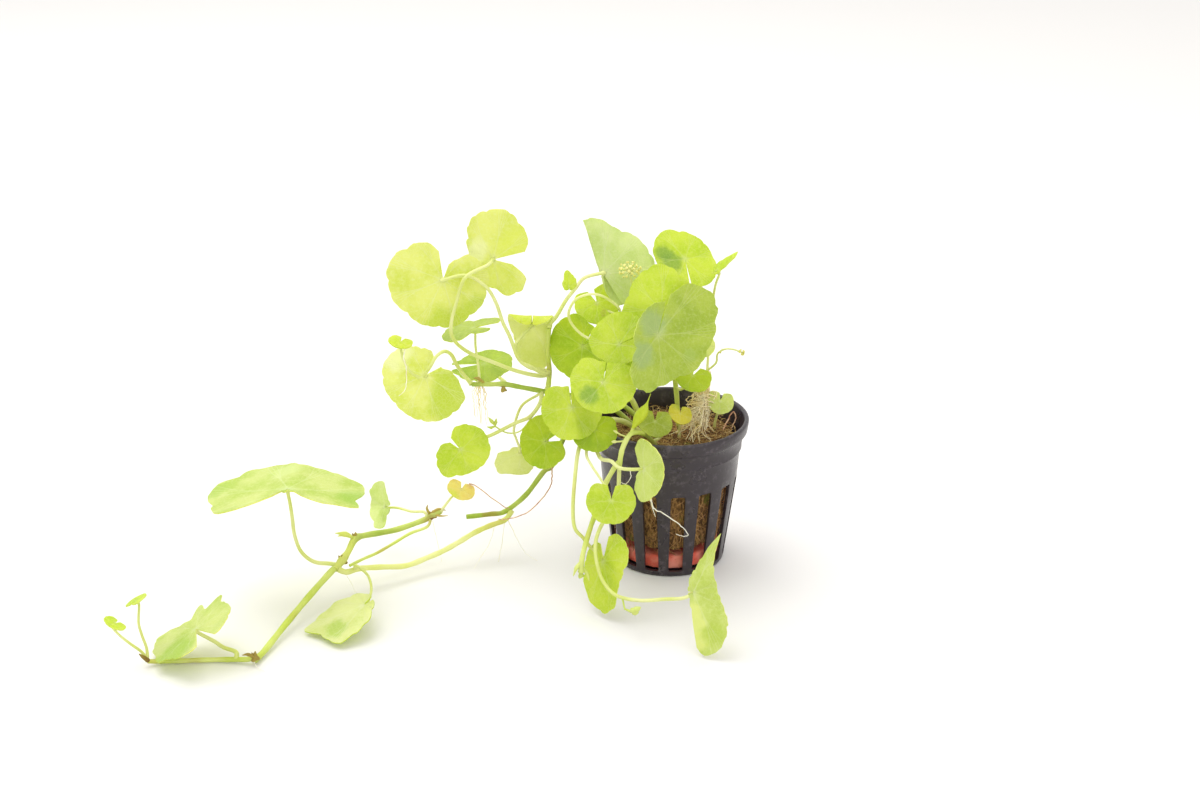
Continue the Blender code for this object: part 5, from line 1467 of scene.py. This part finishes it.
SKY_STRENGTH = 1.05
STUDIO_LIGHTS = (
    ("window_light", (-0.4, 0.25, 0.95), (-0.04, 0.0, 0.04), (0.9, 0.9), 7.0),
    ("front_fill", (0.5, -0.9, 0.8), (-0.04, 0.0, 0.04), (1.2, 1.2), 2.6),
)


def leaf_skins(node, made):
    """The upper and the underside skin of a leaf, its own where it has stained places or patches
    of painted shade.
    """
    tones = LEAF_FINISH.get(node, ("fresh", "fresh_back"))
    stains_and_shade = LEAF_STAINS_AND_SHADE.get(node, ())
    if stains_and_shade:
        return [leaf_skin(f"{node}_{side}", LEAF_TONES[tone], stains_and_shade)
                for side, tone in zip(("upper", "under"), tones)]
    for tone in tones:
        if tone not in made:
            made[tone] = leaf_skin(f"leaf_skin_{tone}", LEAF_TONES[tone])
    return [made[tone] for tone in tones]


def build_plant():
    """Every piece of the plant and its pot."""
    random.seed(7)
    made = {}
    stalk_skin = stem_skin("stalk_pale_green", "#F2F4B8", "#E2E98A", "#D8B46A", 0.12)
    stem_green = stem_skin("stem_green", "#EAF09A", "#D2E062", "#C49A4C", 0.35)
    stem_pale = stem_skin("stem_pale", "#F4F5B4", "#E6EC82", "#C49A4C", 0.2)
    stem_dark = stem_skin("stem_dark_green", "#D2DE78", "#ACC444", "#A6742E", 0.45,
                          paler=(-101.0, -104.5, "#E6EC82"))
    bud_green = stem_skin("bud_scale_green", "#E0EA86", "#C6D858", "#B8A850", 0.3)
    scale_brown = stem_skin("bud_scale_brown", "#C9B45A", "#A08A3A", "#7A4A22", 0.9)
    petal = stem_skin("floret_pale_yellow", "#F6F2A0", "#E8E66A", "#D8C858", 0.2)
    root_pale = root_skin("root_hair_cream", "#FFF6D4", "#F2E0A4")
    root_white = root_skin("root_hair_white", "#FFFDF2", "#F4ECC8")
    root_red = root_skin("root_hair_reddish", "#EBC9A2", "#C98F6E")
    templates = {lobes: cut_template(lobes) for _, lobes in LOBES}
    for node, leaf in LEAVES.items():
        grow_leaf(node, leaf, templates, (*leaf_skins(node, made), stalk_skin), bud_green)
    for template, _ in templates.values():
        bpy.data.objects.remove(template, do_unlink=True)
    tones = {"runner_pale": stem_pale, "runner_dark": stem_dark, "runner_upper": stem_dark,
             "runner_lower": stem_dark, "stem_upright_left": stem_pale, "stem_over_rim": stem_pale}
    for node, stem in STEMS.items():
        scales = bud_green if node == "stem_front_buds" else scale_brown
        grow_stem(node, stem, tones.get(node, stem_green), scales)
    turn_cup(moulded_plastic("polypropylene_charcoal", "#2B2328", "#746B72"))
    press_clay(fired_clay("terracotta_fired", "#E0604E", "#EE9482", "#9C4430"))
    pack_rockwool(spun_rockwool("rockwool_matted", "#4A3216", "#B4884E", "#E0BA80", "#8F9A3C"),
                  root_skin("rockwool_fibre_golden", "#E6CC8C", "#B48C4C"),
                  root_skin("rockwool_fibre_brown", "#7E5A2C", "#4A3014"),
                  root_skin("rockwool_fibre_tan", "#C89C68", "#8C6038"))
    tangle_roots(root_pale)
    hang_roots(root_pale, stem_green)
    lay_loose_roots(root_white, root_red)
    bloom_head(stalk_skin, petal)
    bloom_buds(stalk_skin, petal)
    roll_shoot(stem_skin("rolled_leaf_yellow_green", "#E6EE6A", "#D2E03A", "#B8CC34", 0.3),
               stem_pale)


build_plant()
set_studio()
let_go()
